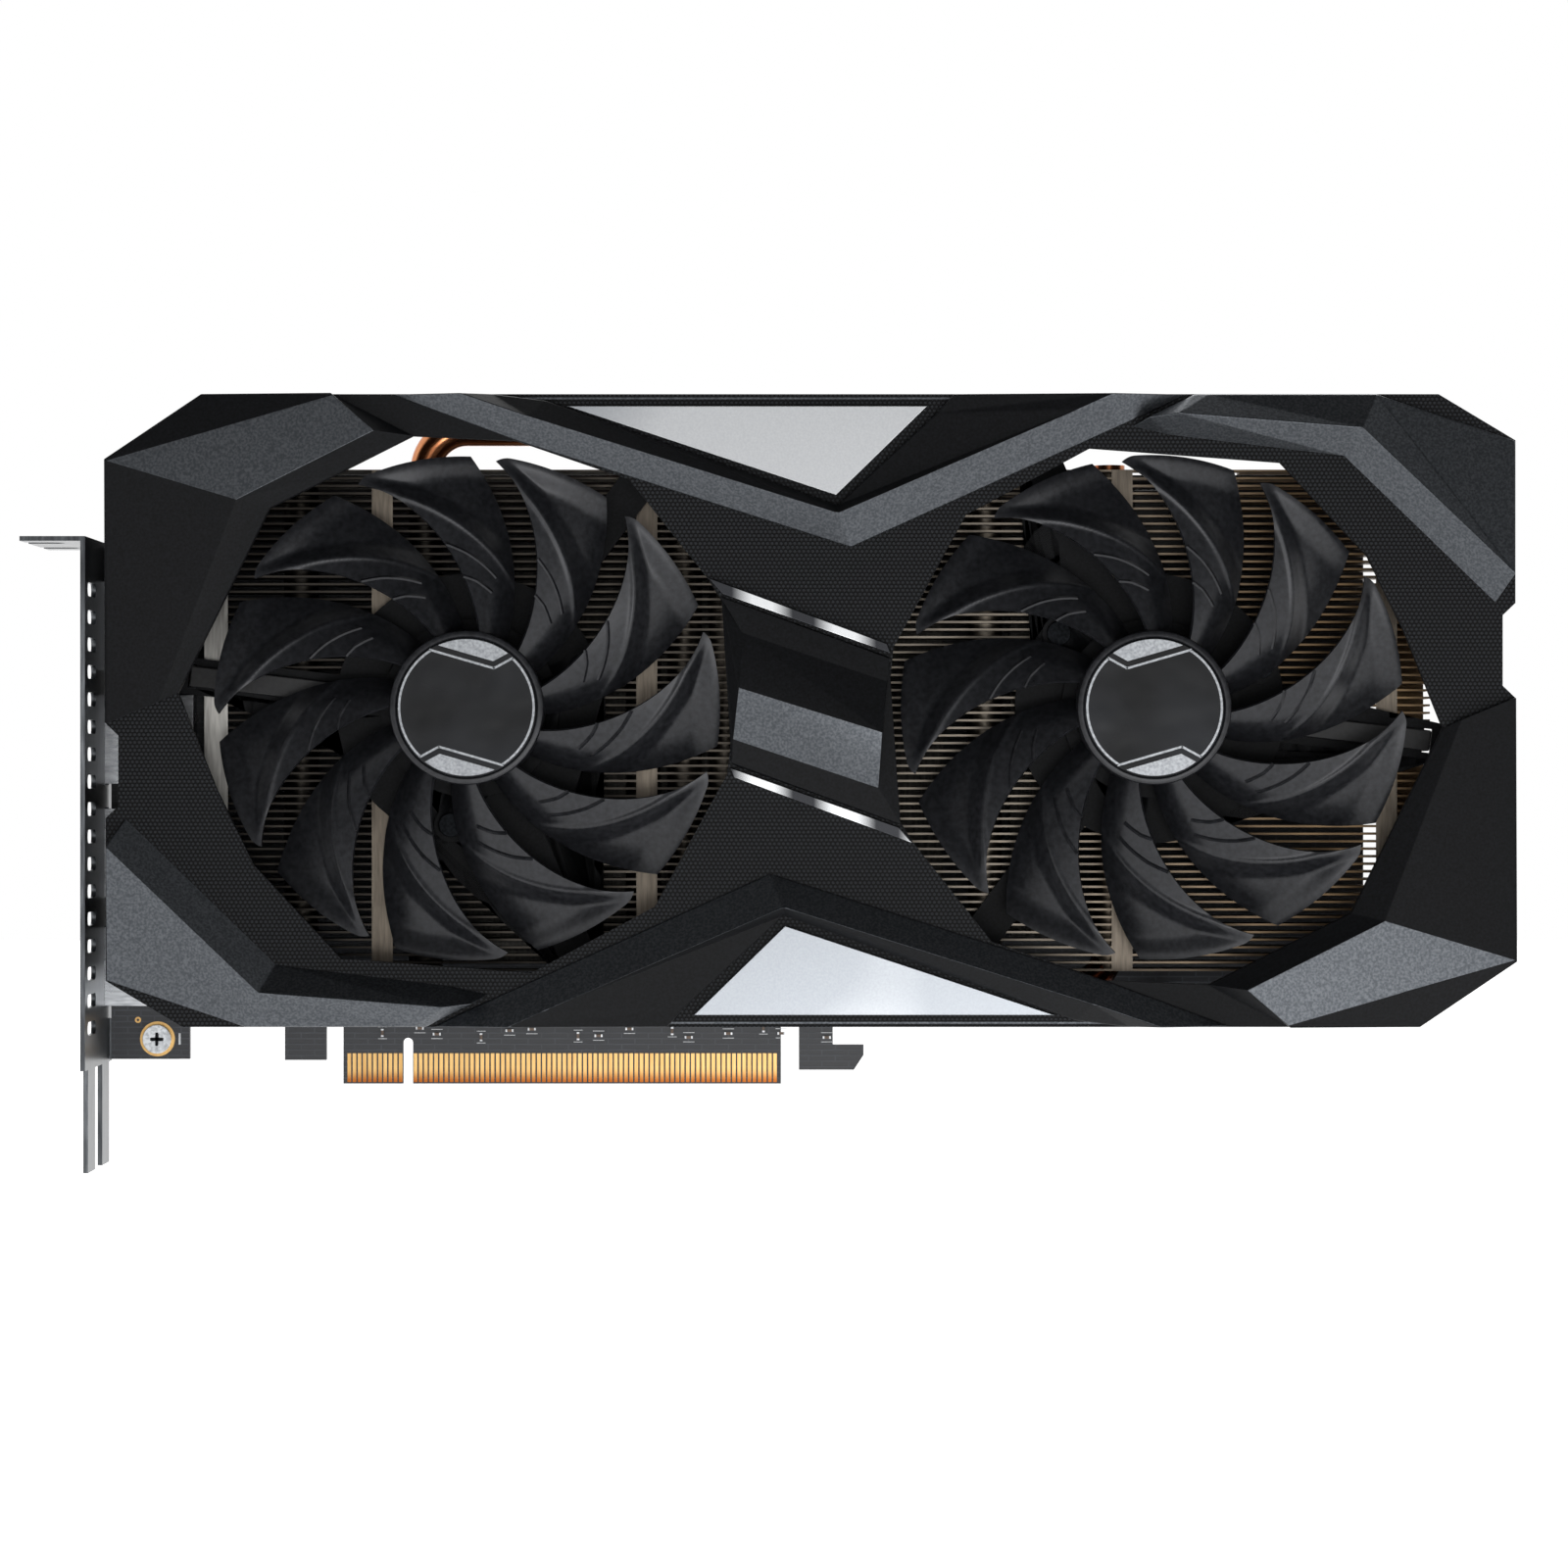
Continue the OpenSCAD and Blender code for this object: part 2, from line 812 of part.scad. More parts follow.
module heat_pipes() {
    low_straight = pipe_low_z + pipe_bend;
    color("#b06a3c") {
        for (pair = top_pipes) {
            for (x = pair)
                leg(x, pipe_low_z + pipe_r + pipe_end, stack_top);
            quarter_bend(pair[0] + pipe_bend, stack_top, 90);
            quarter_bend(pair[1] - pipe_bend, stack_top, 0);
            run(pair[0] + pipe_bend, pair[1] - pipe_bend, stack_top + pipe_bend);
        }
        for (pair = low_pipes) {
            for (x = pair)
                leg(x, low_straight, stack_top + pipe_end);
            quarter_bend(pair[0] + pipe_bend, low_straight, 180);
            quarter_bend(pair[1] - pipe_bend, low_straight, 270);
            run(pair[0] + pipe_bend, pair[1] - pipe_bend, pipe_low_z);
        }
    }
}

function corners(half_x, half_z) =
    [for (i = [-1, 1], j = [-1, 1]) [gpu_x + i * half_x, gpu_z + j * half_z]];
function stage_z(i) = gpu_z + (i - (stage_count - 1) / 2) * stage_pitch;

module base_plate() {
    bar_half = stage_count * stage_pitch / 2;
    color("#9fa3a8") {
        difference() {
            union() {
                box(
                    [gpu_x - base_half_x, fin_back, gpu_z - base_half_z],
                    [gpu_x + base_half_x, base_back_y, gpu_z + base_half_z]
                );
                for (p = concat(corners(base_post_x, base_post_z), corners(mount_half, mount_half)))
                    at_xz(p) rod(post_r, base_back_y - tiny, face_y);
            }
            box(
                [gpu_x - core_w / 2 - core_play, fin_back - 1, gpu_z - core_w / 2 - core_play],
                [gpu_x + core_w / 2 + core_play, base_back_y + 1, gpu_z + core_w / 2 + core_play]
            );
            for (p = concat(corners(base_post_x, base_post_z), corners(mount_half, mount_half)))
                at_xz(p) rod(screw_r, fin_back + 0.5, 0);
        }
        box(
            [stage_x - stage_w, fin_back, gpu_z - bar_half],
            [stage_x + stage_w / 2, stage_bar, gpu_z + bar_half]
        );
    }
}

module core_plate() {
    color("#b87446")
        block(gpu_x, gpu_z, core_w, core_w, fin_back, core_back);
}

// ---- circuit board ----

function chip_places() = concat(
    [for (i = [-1, 1], j = [-1 : 1]) [gpu_x + i * chip_side, gpu_z + j * chip_pitch, chip_w, chip_l]],
    [for (i = [-1, 1]) [gpu_x + i * chip_apart, gpu_z + chip_above, chip_l, chip_w]]
);

// A square block on the board's face: middle, width, height, then its span in depth
module block(x, z, w, h, y_front, y_back) {
    box([x - w / 2, y_front, z - h / 2], [x + w / 2, y_back, z + h / 2]);
}

module thermal_pads() {
    color("#8a93a6") {
        for (c = chip_places())
            block(c[0], c[1], c[2], c[3], base_back_y, face_y - chip_t);
        for (i = [0 : stage_count - 1])
            block(stage_x, stage_z(i), stage_w, stage_l, stage_bar, face_y - stage_t);
        block(gpu_x, gpu_z, die_w, die_w, core_back, core_back + paste);
    }
}

module board_outline() {
    translate([board_left, board_bottom]) square([board_right - board_left, board_top - board_bottom]);
    translate([board_left, 4.8]) square([15.3, 8]);
    translate([-24, 4.6]) square([8.1, 8]);
    translate([-notch_half - short_edge, 0]) square([short_edge + 2 * notch_half + long_edge, 12]);
    translate([76.1, 2.7]) square([6.6, 9]);
    polygon([[82, 2.7], [86.8, 2.7], [88.7, 5.6], [88.7, 7.6], [82, 7.6]]);
}

module circuit_board() {
    notch_top = 8.9;
    color("#17191c") slab(-board_half, board_half) difference() {
        board_outline();
        translate([-notch_half, -1]) square([2 * notch_half, notch_top - notch_half + 1]);
        translate([0, notch_top - notch_half]) circle(notch_half);
        translate([notch_half + long_edge + 0.4, -1]) square([3.1, 9.8]);
        for (p = corners(mount_half, mount_half))
            translate(p) circle(screw_r + mount_play);
        for (p = concat(corners(base_post_x, base_post_z), cover_posts))
            translate(p) circle(screw_r + screw_play);
        for (p = [foot_screw, upper_screw])
            translate(p) circle(bracket_screw_r + screw_play);
    }
}

module edge_contacts() {
    first = notch_half + contact_pitch / 2;
    short_side = [for (i = [0 : 10]) -first - i * contact_pitch];
    long_side = [for (i = [0 : 70]) first + i * contact_pitch];
    color("#d4af5a") for (x = concat(short_side, long_side), y = [face_y - contact_t, board_half])
        translate([x - contact_w / 2, y, 0.3]) cube([contact_w, contact_t, contact_l]);
}

module processor_package() {
    color("#1f4a33") block(gpu_x, gpu_z, package_w, package_w, face_y - package_t, face_y);
}

module processor_die() {
    color("#5b6066") block(gpu_x, gpu_z, die_w, die_w, face_y - package_t - die_t, face_y - package_t);
}

module memory_chips() {
    color("#111214") for (c = chip_places())
        block(c[0], c[1], c[2], c[3], face_y - chip_t, face_y);
}

module power_stages() {
    color("#1c1d20") for (i = [0 : stage_count - 1])
        block(stage_x, stage_z(i), stage_w, stage_l, face_y - stage_t, face_y);
}

module chokes() {
    color("#3c3f43") for (i = [0 : stage_count - 1])
        block(choke_x, stage_z(i), choke_w, choke_w, face_y - choke_t, face_y);
}

module capacitors() {
    color("#a6a9ae") for (i = [0 : stage_count - 1]) {
        at_xz([can_x, stage_z(i)]) rod(can_d / 2, face_y - can_t, face_y - 0.8);
        block(can_x, stage_z(i), can_d + 0.3, can_d + 0.3, face_y - 0.8 - tiny, face_y);
    }
}

function cell_place(i, j) = [
    connector_x + (i - (cells_x - 1) / 2) * cell,
    face_y - connector_wall - (j + 0.5) * cell
];

module square_bar(p, w, z_low, z_high) {
    box([p[0] - w / 2, p[1] - w / 2, z_low], [p[0] + w / 2, p[1] + w / 2, z_high]);
}

module power_connector() {
    floor_z = connector_z + 2.8;
    top_z = connector_z + connector_h;
    color("#101113") difference() {
        union() {
            box(
                [connector_x - connector_w / 2, face_y - connector_d, connector_z],
                [connector_x + connector_w / 2, face_y, top_z]
            );
            box(
                [connector_x - 2.5, face_y - connector_d - 1, top_z - 6],
                [connector_x + 2.5, face_y - 1, top_z - 4]
            );
        }
        for (i = [0 : cells_x - 1], j = [0 : cells_y - 1])
            square_bar(cell_place(i, j), cell_hole, floor_z, top_z + 1);
    }
}

module power_pins() {
    floor_z = connector_z + 2.8;
    top_z = connector_z + connector_h;
    color("#c8b070") for (i = [0 : cells_x - 1], j = [0 : cells_y - 1])
        square_bar(cell_place(i, j), pin_w, floor_z, top_z - 3);
}

module fan_headers() {
    color("#e6e3da") {
        at_fan(-1) fan_header(-1);
        at_fan(1) fan_header(1);
    }
}

// ---- back ----

module backplate() {
    screws = concat(corners(base_post_x, base_post_z), cover_posts);
    color("#1b1c1e") difference() {
        union() {
            slab(backplate_front, backplate_back) difference() {
                polygon([
                    [backplate_left, backplate_bottom],
                    [backplate_right - backplate_cut, backplate_bottom],
                    [backplate_right, backplate_bottom + backplate_cut],
                    [backplate_right, backplate_top],
                    [backplate_left + backplate_cut, backplate_top],
                    [backplate_left, backplate_top - backplate_cut]
                ]);
                translate([gpu_x, gpu_z]) polygon([
                    [-window_half, -window_half + window_cut], [-window_half + window_cut, -window_half],
                    [window_half, -window_half], [window_half, window_half - window_cut],
                    [window_half - window_cut, window_half], [-window_half, window_half]
                ]);
            }
            for (p = screws)
                at_xz(p) rod(post_r, board_half, backplate_front + tiny);
        }
        for (p = screws)
            at_xz(p) rod(screw_r + screw_play, 0, backplate_back + 1);
    }
}

// A screw from behind: head on y_seat, thread forward to y_tip
module back_screw(y_tip, y_seat) {
    difference() {
        union() {
            rod(head_r, y_seat, y_seat + head_t);
            rod(screw_r, y_tip, y_seat + tiny);
        }
        cross_recess(y_seat + head_t);
    }
}

module cross_recess(y) {
    for (turn = [0, 90])
        rotate([0, turn, 0]) box([-1.1, y - 0.7, -0.3], [1.1, y + 0.7, 0.3]);
}

module backplate_screws() {
    color("#8f9398") {
        for (p = corners(base_post_x, base_post_z))
            at_xz(p) back_screw(fin_back + 0.5, backplate_back);
        for (p = cover_posts)
            at_xz(p) back_screw(-post_thread, backplate_back);
    }
}

module retention_plate() {
    front = board_half + retention_gap;
    back = front + retention_t;
    reach = mount_half * sqrt(2);
    color("#6f747a") translate([gpu_x, 0, gpu_z]) difference() {
        union() {
            for (turn = [45, 135])
                rotate([0, turn, 0]) box([-retention_w / 2, front, -reach], [retention_w / 2, back, reach]);
            for (i = [0 : 3])
                rotate([0, 45 + 90 * i, 0]) translate([0, 0, reach]) {
                    rod(retention_w / 2, front, back);
                    rod(retention_w / 2 - 1.5, board_half, front + tiny);
                }
            rod(14, front, back);
        }
        rod(8, front - 1, back + 1);
        for (i = [0 : 3])
            rotate([0, 45 + 90 * i, 0]) translate([0, 0, reach]) rod(screw_r + mount_play, 0, back + 1);
    }
}

module spring_screws() {
    seat = board_half + retention_gap + retention_t + spring_l;
    color("#a9adb2") for (p = corners(mount_half, mount_half))
        at_xz(p) back_screw(fin_back + 0.5, seat);
}

// Each spring is drawn as the sleeve that its coils fill
module screw_springs() {
    front = board_half + retention_gap + retention_t;
    color("#c6c9cc") for (p = corners(mount_half, mount_half))
        at_xz(p) tube(spring_r, spring_r - spring_wire, front, front + spring_l);
}

// ---- bracket ----

// A flat shape drawn in Y and Z, as thick as the span from x_left to x_right
module sheet(x_left, x_right) {
    translate([x_left, 0, 0]) rotate([90, 0, 90]) linear_extrude(x_right - x_left) children();
}

module vent() {
    r = vent_w / 2;
    translate([vent_front + r, -r]) square([vent_back - vent_front - vent_w, vent_w]);
    translate([vent_front + r, 0]) circle(r);
    translate([vent_back - r, 0]) circle(r);
}

function socket_w(i) = i == 0 ? hdmi_w : dp_w;

module bracket_foot(p) {
    box(
        [bracket_out, board_half, p[1] - foot_h / 2],
        [bracket_out + foot_l, board_half + bracket_t, p[1] + foot_h / 2]
    );
}

module bracket() {
    color("#4a4d52") difference() {
        union() {
            sheet(bracket_out, bracket_in) difference() {
                union() {
                    translate([bracket_front, bracket_foot]) square([bracket_w, bracket_top - bracket_foot]);
                    for (i = [0, 1])
                        translate([slot_y - i * slot_pitch - prong_w / 2, prong_tip])
                            square([prong_w, bracket_foot - prong_tip + 1]);
                }
                for (i = [0 : len(socket_z) - 1])
                    translate([
                        face_y - socket_h - socket_play,
                        socket_z[i] - socket_w(i) / 2 - socket_play
                    ])
                        square([socket_h + 2 * socket_play, socket_w(i) + 2 * socket_play]);
                for (i = [0 : vent_count - 1])
                    translate([0, vent_low + i * vent_pitch]) vent();
            }
            box(
                [bracket_out - tab_l, bracket_front, bracket_top - bracket_t],
                [bracket_in, bracket_back, bracket_top]
            );
            bracket_foot(foot_screw);
            bracket_foot(upper_screw);
        }
        for (i = [0, 1])
            translate([bracket_out - tab_notch_x, slot_y - i * slot_pitch, bracket_top - 2]) {
                cylinder(h = 4, r = tab_notch_r);
                translate([-tab_l, -tab_notch_r, 0]) cube([tab_l, 2 * tab_notch_r, 4]);
            }
        for (p = [foot_screw, upper_screw])
            at_xz(p) rod(bracket_screw_r, board_half - 1, board_half + 2);
    }
}

module bracket_screws() {
    color("#c9ccd0") for (p = [foot_screw, upper_screw])
        at_xz(p) difference() {
            union() {
                rod(bracket_head_r, face_y - bracket_head_t, face_y);
                rod(bracket_screw_r, face_y - tiny, board_half + bracket_t);
            }
            cross_recess(face_y - bracket_head_t);
        }
}

// A metal-shelled socket on the board, mouth to the left, round a contact tongue
module socket(w, z) {
    shell_back = socket_front + socket_deep;
    middle = face_y - socket_h / 2;
    difference() {
        box([socket_front, face_y - socket_h, z - w / 2], [shell_back, face_y, z + w / 2]);
        box(
            [socket_front - 1, face_y - socket_h + socket_wall, z - w / 2 + socket_wall],
            [socket_front + socket_mouth, face_y - socket_wall, z + w / 2 - socket_wall]
        );
    }
    box(
        [socket_front + tongue_set, middle - tongue_t / 2, z - w / 2 + tongue_side],
        [socket_front + socket_mouth + 1, middle + tongue_t / 2, z + w / 2 - tongue_side]
    );
}

module hdmi_socket() {
    color("#c2c5c9") socket(hdmi_w, socket_z[0]);
}

module displayport_sockets() {
    color("#c2c5c9") for (i = [1 : len(socket_z) - 1])
        socket(dp_w, socket_z[i]);
}

shroud();
corner_cover_left();
corner_cover_right();
edge_trim_left();
edge_trim_right();
v_trim_upper();
v_trim_lower();
silver_plate_upper();
silver_plate_lower();
centre_bridge();
silver_strips();
impeller_left();
rotor_yoke_left();
magnet_ring_left();
shaft_left();
hub_badge_left();
fan_base_left();
bearing_left();
stator_left();
fan_board_left();
fan_carrier_left();
fan_lead_left();
impeller_right();
rotor_yoke_right();
magnet_ring_right();
shaft_right();
hub_badge_right();
fan_base_right();
bearing_right();
stator_right();
fan_board_right();
fan_carrier_right();
fan_lead_right();
fan_screws();
carrier_screws();
fins();
heat_pipes();
base_plate();
core_plate();
thermal_pads();
circuit_board();
edge_contacts();
processor_package();
processor_die();
memory_chips();
power_stages();
chokes();
capacitors();
power_connector();
power_pins();
fan_headers();
backplate();
backplate_screws();
retention_plate();
spring_screws();
screw_springs();
bracket();
bracket_screws();
hdmi_socket();
displayport_sockets();
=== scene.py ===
import json
import math

import bmesh
import bpy
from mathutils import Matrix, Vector


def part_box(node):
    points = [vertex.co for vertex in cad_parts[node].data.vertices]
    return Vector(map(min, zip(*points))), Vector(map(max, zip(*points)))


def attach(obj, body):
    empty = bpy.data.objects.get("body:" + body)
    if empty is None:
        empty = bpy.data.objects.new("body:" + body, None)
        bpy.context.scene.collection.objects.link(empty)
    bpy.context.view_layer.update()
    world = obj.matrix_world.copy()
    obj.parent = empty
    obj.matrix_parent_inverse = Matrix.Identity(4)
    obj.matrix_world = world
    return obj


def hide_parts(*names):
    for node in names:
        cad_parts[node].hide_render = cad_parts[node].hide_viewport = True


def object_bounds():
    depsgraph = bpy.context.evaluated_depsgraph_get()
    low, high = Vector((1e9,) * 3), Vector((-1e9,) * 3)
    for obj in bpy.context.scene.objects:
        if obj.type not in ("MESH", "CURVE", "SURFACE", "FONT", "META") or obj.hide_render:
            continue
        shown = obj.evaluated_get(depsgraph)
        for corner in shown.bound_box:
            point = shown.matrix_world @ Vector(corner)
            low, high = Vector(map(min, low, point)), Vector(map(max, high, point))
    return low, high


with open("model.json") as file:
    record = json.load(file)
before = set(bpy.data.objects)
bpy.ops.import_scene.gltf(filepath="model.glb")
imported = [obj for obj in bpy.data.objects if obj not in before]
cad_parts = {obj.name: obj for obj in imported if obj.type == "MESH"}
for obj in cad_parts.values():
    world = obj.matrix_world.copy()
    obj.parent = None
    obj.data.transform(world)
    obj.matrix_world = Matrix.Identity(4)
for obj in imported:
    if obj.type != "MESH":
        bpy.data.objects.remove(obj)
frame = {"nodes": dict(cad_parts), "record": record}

cad_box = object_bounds()
MM = 0.001


# ---- small tools ----

def hex_colour(code):
    """An sRGB hex colour as linear red, green, blue and alpha."""
    parts = [int(code[i:i + 2], 16) / 255 for i in (1, 3, 5)]
    return [p / 12.92 if p <= 0.04045 else ((p + 0.055) / 1.055) ** 2.4 for p in parts] + [1.0]


def add(tree, kind, sockets=None, **settings):
    """A node with its settings; a socket gets a plain value, or a link from another node's output."""
    node = tree.nodes.new(kind)
    for name, value in settings.items():
        setattr(node, name, value)
    for socket, value in (sockets or {}).items():
        if isinstance(value, bpy.types.NodeSocket):
            tree.links.new(value, node.inputs[socket])
        else:
            node.inputs[socket].default_value = value
    return node


def start_material(name, **values):
    """A new material, its node tree, its shader with the values given, and the place on the object."""
    material = bpy.data.materials.new(name)
    material.use_nodes = True
    tree = material.node_tree
    shader = tree.nodes["Principled BSDF"]
    for socket, value in values.items():
        shader.inputs[socket.replace("_", " ")].default_value = value
    place = add(tree, "ShaderNodeTexCoord").outputs["Object"]
    return material, tree, shader, place


def speckle(tree, place, grain_mm, detail=2.0):
    """Noise whose spots are about grain_mm across."""
    scale = 0.6 / (grain_mm * MM)
    noise = add(tree, "ShaderNodeTexNoise", {"Vector": place, "Scale": scale, "Detail": detail})
    return noise.outputs["Fac"]


def remapped(tree, value, start=0.0, end=1.0, low=0.0, high=1.0, smooth=False):
    """low where the value is at its start and high where it is at its end, even or smooth between."""
    return add(
        tree, "ShaderNodeMapRange",
        {"Value": value, "From Min": start, "From Max": end, "To Min": low, "To Max": high},
        interpolation_type="SMOOTHSTEP" if smooth else "LINEAR").outputs["Result"]


def ramp(tree, value, start, end, dark, light):
    """Colours from dark to light as the value goes from start to end."""
    part = remapped(tree, value, start, end)
    mix = add(tree, "ShaderNodeMix", {0: part, 6: hex_colour(dark), 7: hex_colour(light)}, data_type="RGBA")
    return mix.outputs[2]


def stretched(tree, place, factors):
    """The place multiplied by X, Y and Z factors: a pattern on it runs on where the factor is small."""
    return add(tree, "ShaderNodeVectorMath", {0: place, 1: factors}, operation="MULTIPLY").outputs[0]


def relief(tree, shader, height, depth_mm, strength=1.0):
    """Bump of that depth on the shader."""
    bump = add(tree, "ShaderNodeBump", {"Height": height, "Distance": depth_mm * MM, "Strength": strength})
    tree.links.new(bump.outputs["Normal"], shader.inputs["Normal"])


def along(tree, place, axis, start_mm, end_mm):
    """0 at one place along X, Y or Z and 1 at another, smooth between."""
    value = add(tree, "ShaderNodeSeparateXYZ", {0: place}).outputs[axis]
    return remapped(tree, value, start_mm * MM, end_mm * MM, smooth=True)


def tinted(tree, colour, by, tint):
    """The colour, multiplied by the tint where the value is 1."""
    mix = add(
        tree, "ShaderNodeMix", {0: by, 6: colour, 7: hex_colour(tint)},
        data_type="RGBA", blend_type="MULTIPLY")
    return mix.outputs[2]


# ---- materials ----

def flecked_abs(name, dark, light, roughness):
    """Moulded ABS coated with a metallic-flake paint: a coarse sparkle over satin grey."""
    material, tree, shader, place = start_material(name, Metallic=0.9, Roughness=roughness)
    flakes = speckle(tree, place, 0.28, 1.0)
    tree.links.new(ramp(tree, flakes, 0.36, 0.68, dark, light), shader.inputs["Base Color"])
    relief(tree, shader, flakes, 0.02, 0.25)
    return material


def textured_abs():
    """Moulded ABS with the fine spark-eroded grain of a mould: near black and even."""
    material, tree, shader, place = start_material(
        "ABS_spark_grain", Roughness=0.55, Specular_IOR_Level=0.15)
    grain = speckle(tree, place, 0.3)
    tree.links.new(ramp(tree, grain, 0.3, 0.7, "#0a0b0c", "#141518"), shader.inputs["Base Color"])
    relief(tree, shader, grain, 0.03, 0.6)
    return material


def hex_dot_abs():
    """Moulded ABS with rows of fine raised dots, 0.85 mm apart, which catch the light one by one: each dot is
    raised and also carries a painted highlight in its colour.
    """
    pitch = 0.85 * MM
    cell = (pitch, 1.0, pitch * math.sqrt(3))
    material, tree, shader, place = start_material("ABS_hex_dots", Roughness=0.45, Specular_IOR_Level=0.15)
    reach = []
    for shift in (0.0, 0.5):
        moved = place
        for operation, by in (
            ("DIVIDE", cell), ("ADD", (shift, 0, shift)), ("FRACTION", (0, 0, 0)),
            ("SUBTRACT", (0.5, 0.5, 0.5)), ("MULTIPLY", (cell[0], 0, cell[2])),
        ):
            moved = add(tree, "ShaderNodeVectorMath", {0: moved, 1: by}, operation=operation).outputs[0]
        reach.append(add(tree, "ShaderNodeVectorMath", {0: moved}, operation="LENGTH").outputs["Value"])
    nearest = add(tree, "ShaderNodeMath", {0: reach[0], 1: reach[1]}, operation="MINIMUM").outputs[0]
    # Painted highlight: each dot is coloured lighter than the ground as well as raised.
    dot = remapped(tree, nearest, 0.42 * pitch, 0.26 * pitch, smooth=True)
    tree.links.new(ramp(tree, dot, 0, 1, "#040405", "#25272a"), shader.inputs["Base Color"])
    relief(tree, shader, dot, 0.12, 0.8)
    return material


def fan_pbt():
    """Glass-filled PBT moulded to a half gloss: black, with long soft reflections and an orange-peel."""
    material, tree, shader, place = start_material("PBT_half_gloss", Metallic=0.35, Roughness=0.3)
    peel = speckle(tree, place, 0.6, 3.0)
    tree.links.new(ramp(tree, peel, 0.3, 0.7, "#1b1c1f", "#2c2d31"), shader.inputs["Base Color"])
    tree.links.new(remapped(tree, peel, low=0.24, high=0.4), shader.inputs["Roughness"])
    relief(tree, shader, peel, 0.02, 0.35)
    return material


def gloss_film():
    """Printed polycarbonate film under a clear gloss: a dark disc with mirror reflections."""
    material, tree, shader, place = start_material(
        "polycarbonate_gloss_film", Roughness=0.16, Specular_IOR_Level=0.3)
    tint = speckle(tree, place, 9, 1.0)
    tree.links.new(ramp(tree, tint, 0.35, 0.7, "#0b0c0e", "#222428"), shader.inputs["Base Color"])
    relief(tree, shader, speckle(tree, place, 4.5, 1.0), 0.22, 1.0)
    return material


def hot_foil():
    """Bright foil stamped on the film: thin silver lines and patches."""
    material, tree, shader, place = start_material("hot_stamped_foil", Metallic=0.9, Roughness=0.35)
    grain = speckle(tree, place, 0.3)
    tree.links.new(ramp(tree, grain, 0.3, 0.7, "#8d9094", "#b3b6ba"), shader.inputs["Base Color"])
    return material


def anodised_plate():
    """Satin silver aluminium plate, fine-blasted: hardly any grain, with broad soft changes of tone."""
    material, tree, shader, place = start_material("aluminium_satin_plate", Metallic=1.0, Roughness=0.3)
    grain = speckle(tree, place, 0.25)
    even = ramp(tree, grain, 0.25, 0.75, "#c4c6c9", "#d0d2d4")
    tone = remapped(tree, speckle(tree, place, 26, 0.0), 0.4, 0.62)
    tree.links.new(tinted(tree, even, tone, "#c0c3c7"), shader.inputs["Base Color"])
    relief(tree, shader, grain, 0.004, 0.4)
    return material


def polished_strip():
    """Chromed strip: mirror-like, with painted reflections of light and dark lying across it every 16 mm,
    dark at its middle.
    """
    material, tree, shader, place = start_material("chromed_strip", Metallic=1.0, Roughness=0.2)
    # Painted reflections: bands of light and dark in the strip's colour, every 16 mm along X.
    painted_reflection_bands = add(
        tree, "ShaderNodeTexWave",
        {"Vector": place, "Scale": 19.6, "Distortion": 0.6, "Phase Offset": 1.24},
        bands_direction="X").outputs["Fac"]
    tree.links.new(ramp(tree, painted_reflection_bands, 0.15, 0.85, "#3c3d40", "#eceef0"), shader.inputs["Base Color"])
    relief(tree, shader, speckle(tree, place, 0.3), 0.003, 0.3)
    return material


def fin_sheet():
    """Stamped aluminium fins: dull, darkened towards the left with painted shade and warmed towards the right
    with a painted copper reflection.
    """
    material, tree, shader, place = start_material("stamped_fin_aluminium", Metallic=1.0, Roughness=0.42)
    grain = speckle(tree, stretched(tree, place, (0.12, 1, 1)), 0.5, 3.0)
    sheet = ramp(tree, grain, 0.25, 0.75, "#6f6962", "#938a7d")
    # Painted shade darkens the fins towards the left, and a painted copper reflection warms them towards the
    # right.
    painted_shade_left = tinted(tree, sheet, along(tree, place, "X", 110, 10), "#7f8083")
    painted_copper_reflection = tinted(tree, painted_shade_left, along(tree, place, "X", 110, 180), "#dcc4a6")
    tree.links.new(painted_copper_reflection, shader.inputs["Base Color"])
    relief(tree, shader, grain, 0.01, 0.4)
    return material


def drawn_copper():
    """Drawn copper pipe: bright where it leaves the fins at the top, darkened by painted shade within the
    stack.
    """
    material, tree, shader, place = start_material("drawn_copper", Metallic=1.0, Roughness=0.24)
    grain = speckle(tree, stretched(tree, place, (0.1, 1, 0.1)), 0.35)
    bright = ramp(tree, grain, 0.3, 0.7, "#b5683f", "#e09a6c")
    # Painted shade: the pipe darkens within the fin stack, below where it leaves the fins.
    painted_stack_shade = tinted(tree, bright, along(tree, place, "Z", 121, 117), "#4a3a32")
    tree.links.new(painted_stack_shade, shader.inputs["Base Color"])
    relief(tree, shader, grain, 0.01, 0.4)
    return material


def hard_gold():
    """Hard gold plate over nickel: pale yellow above, darkened and more orange towards the bottom edge with
    painted shade.
    """
    material, tree, shader, place = start_material("hard_gold_plate", Metallic=0.9, Roughness=0.34)
    grain = speckle(tree, stretched(tree, place, (1, 1, 0.1)), 0.3)
    pale = ramp(tree, grain, 0.25, 0.75, "#c99d60", "#dbb678")
    # Painted shade: the gold darkens and turns more orange towards the bottom edge.
    gold = tinted(tree, pale, along(tree, place, "Z", 3.2, 0.3), "#c48a58")
    tree.links.new(gold, shader.inputs["Base Color"])
    relief(tree, shader, grain, 0.004, 0.3)
    return material


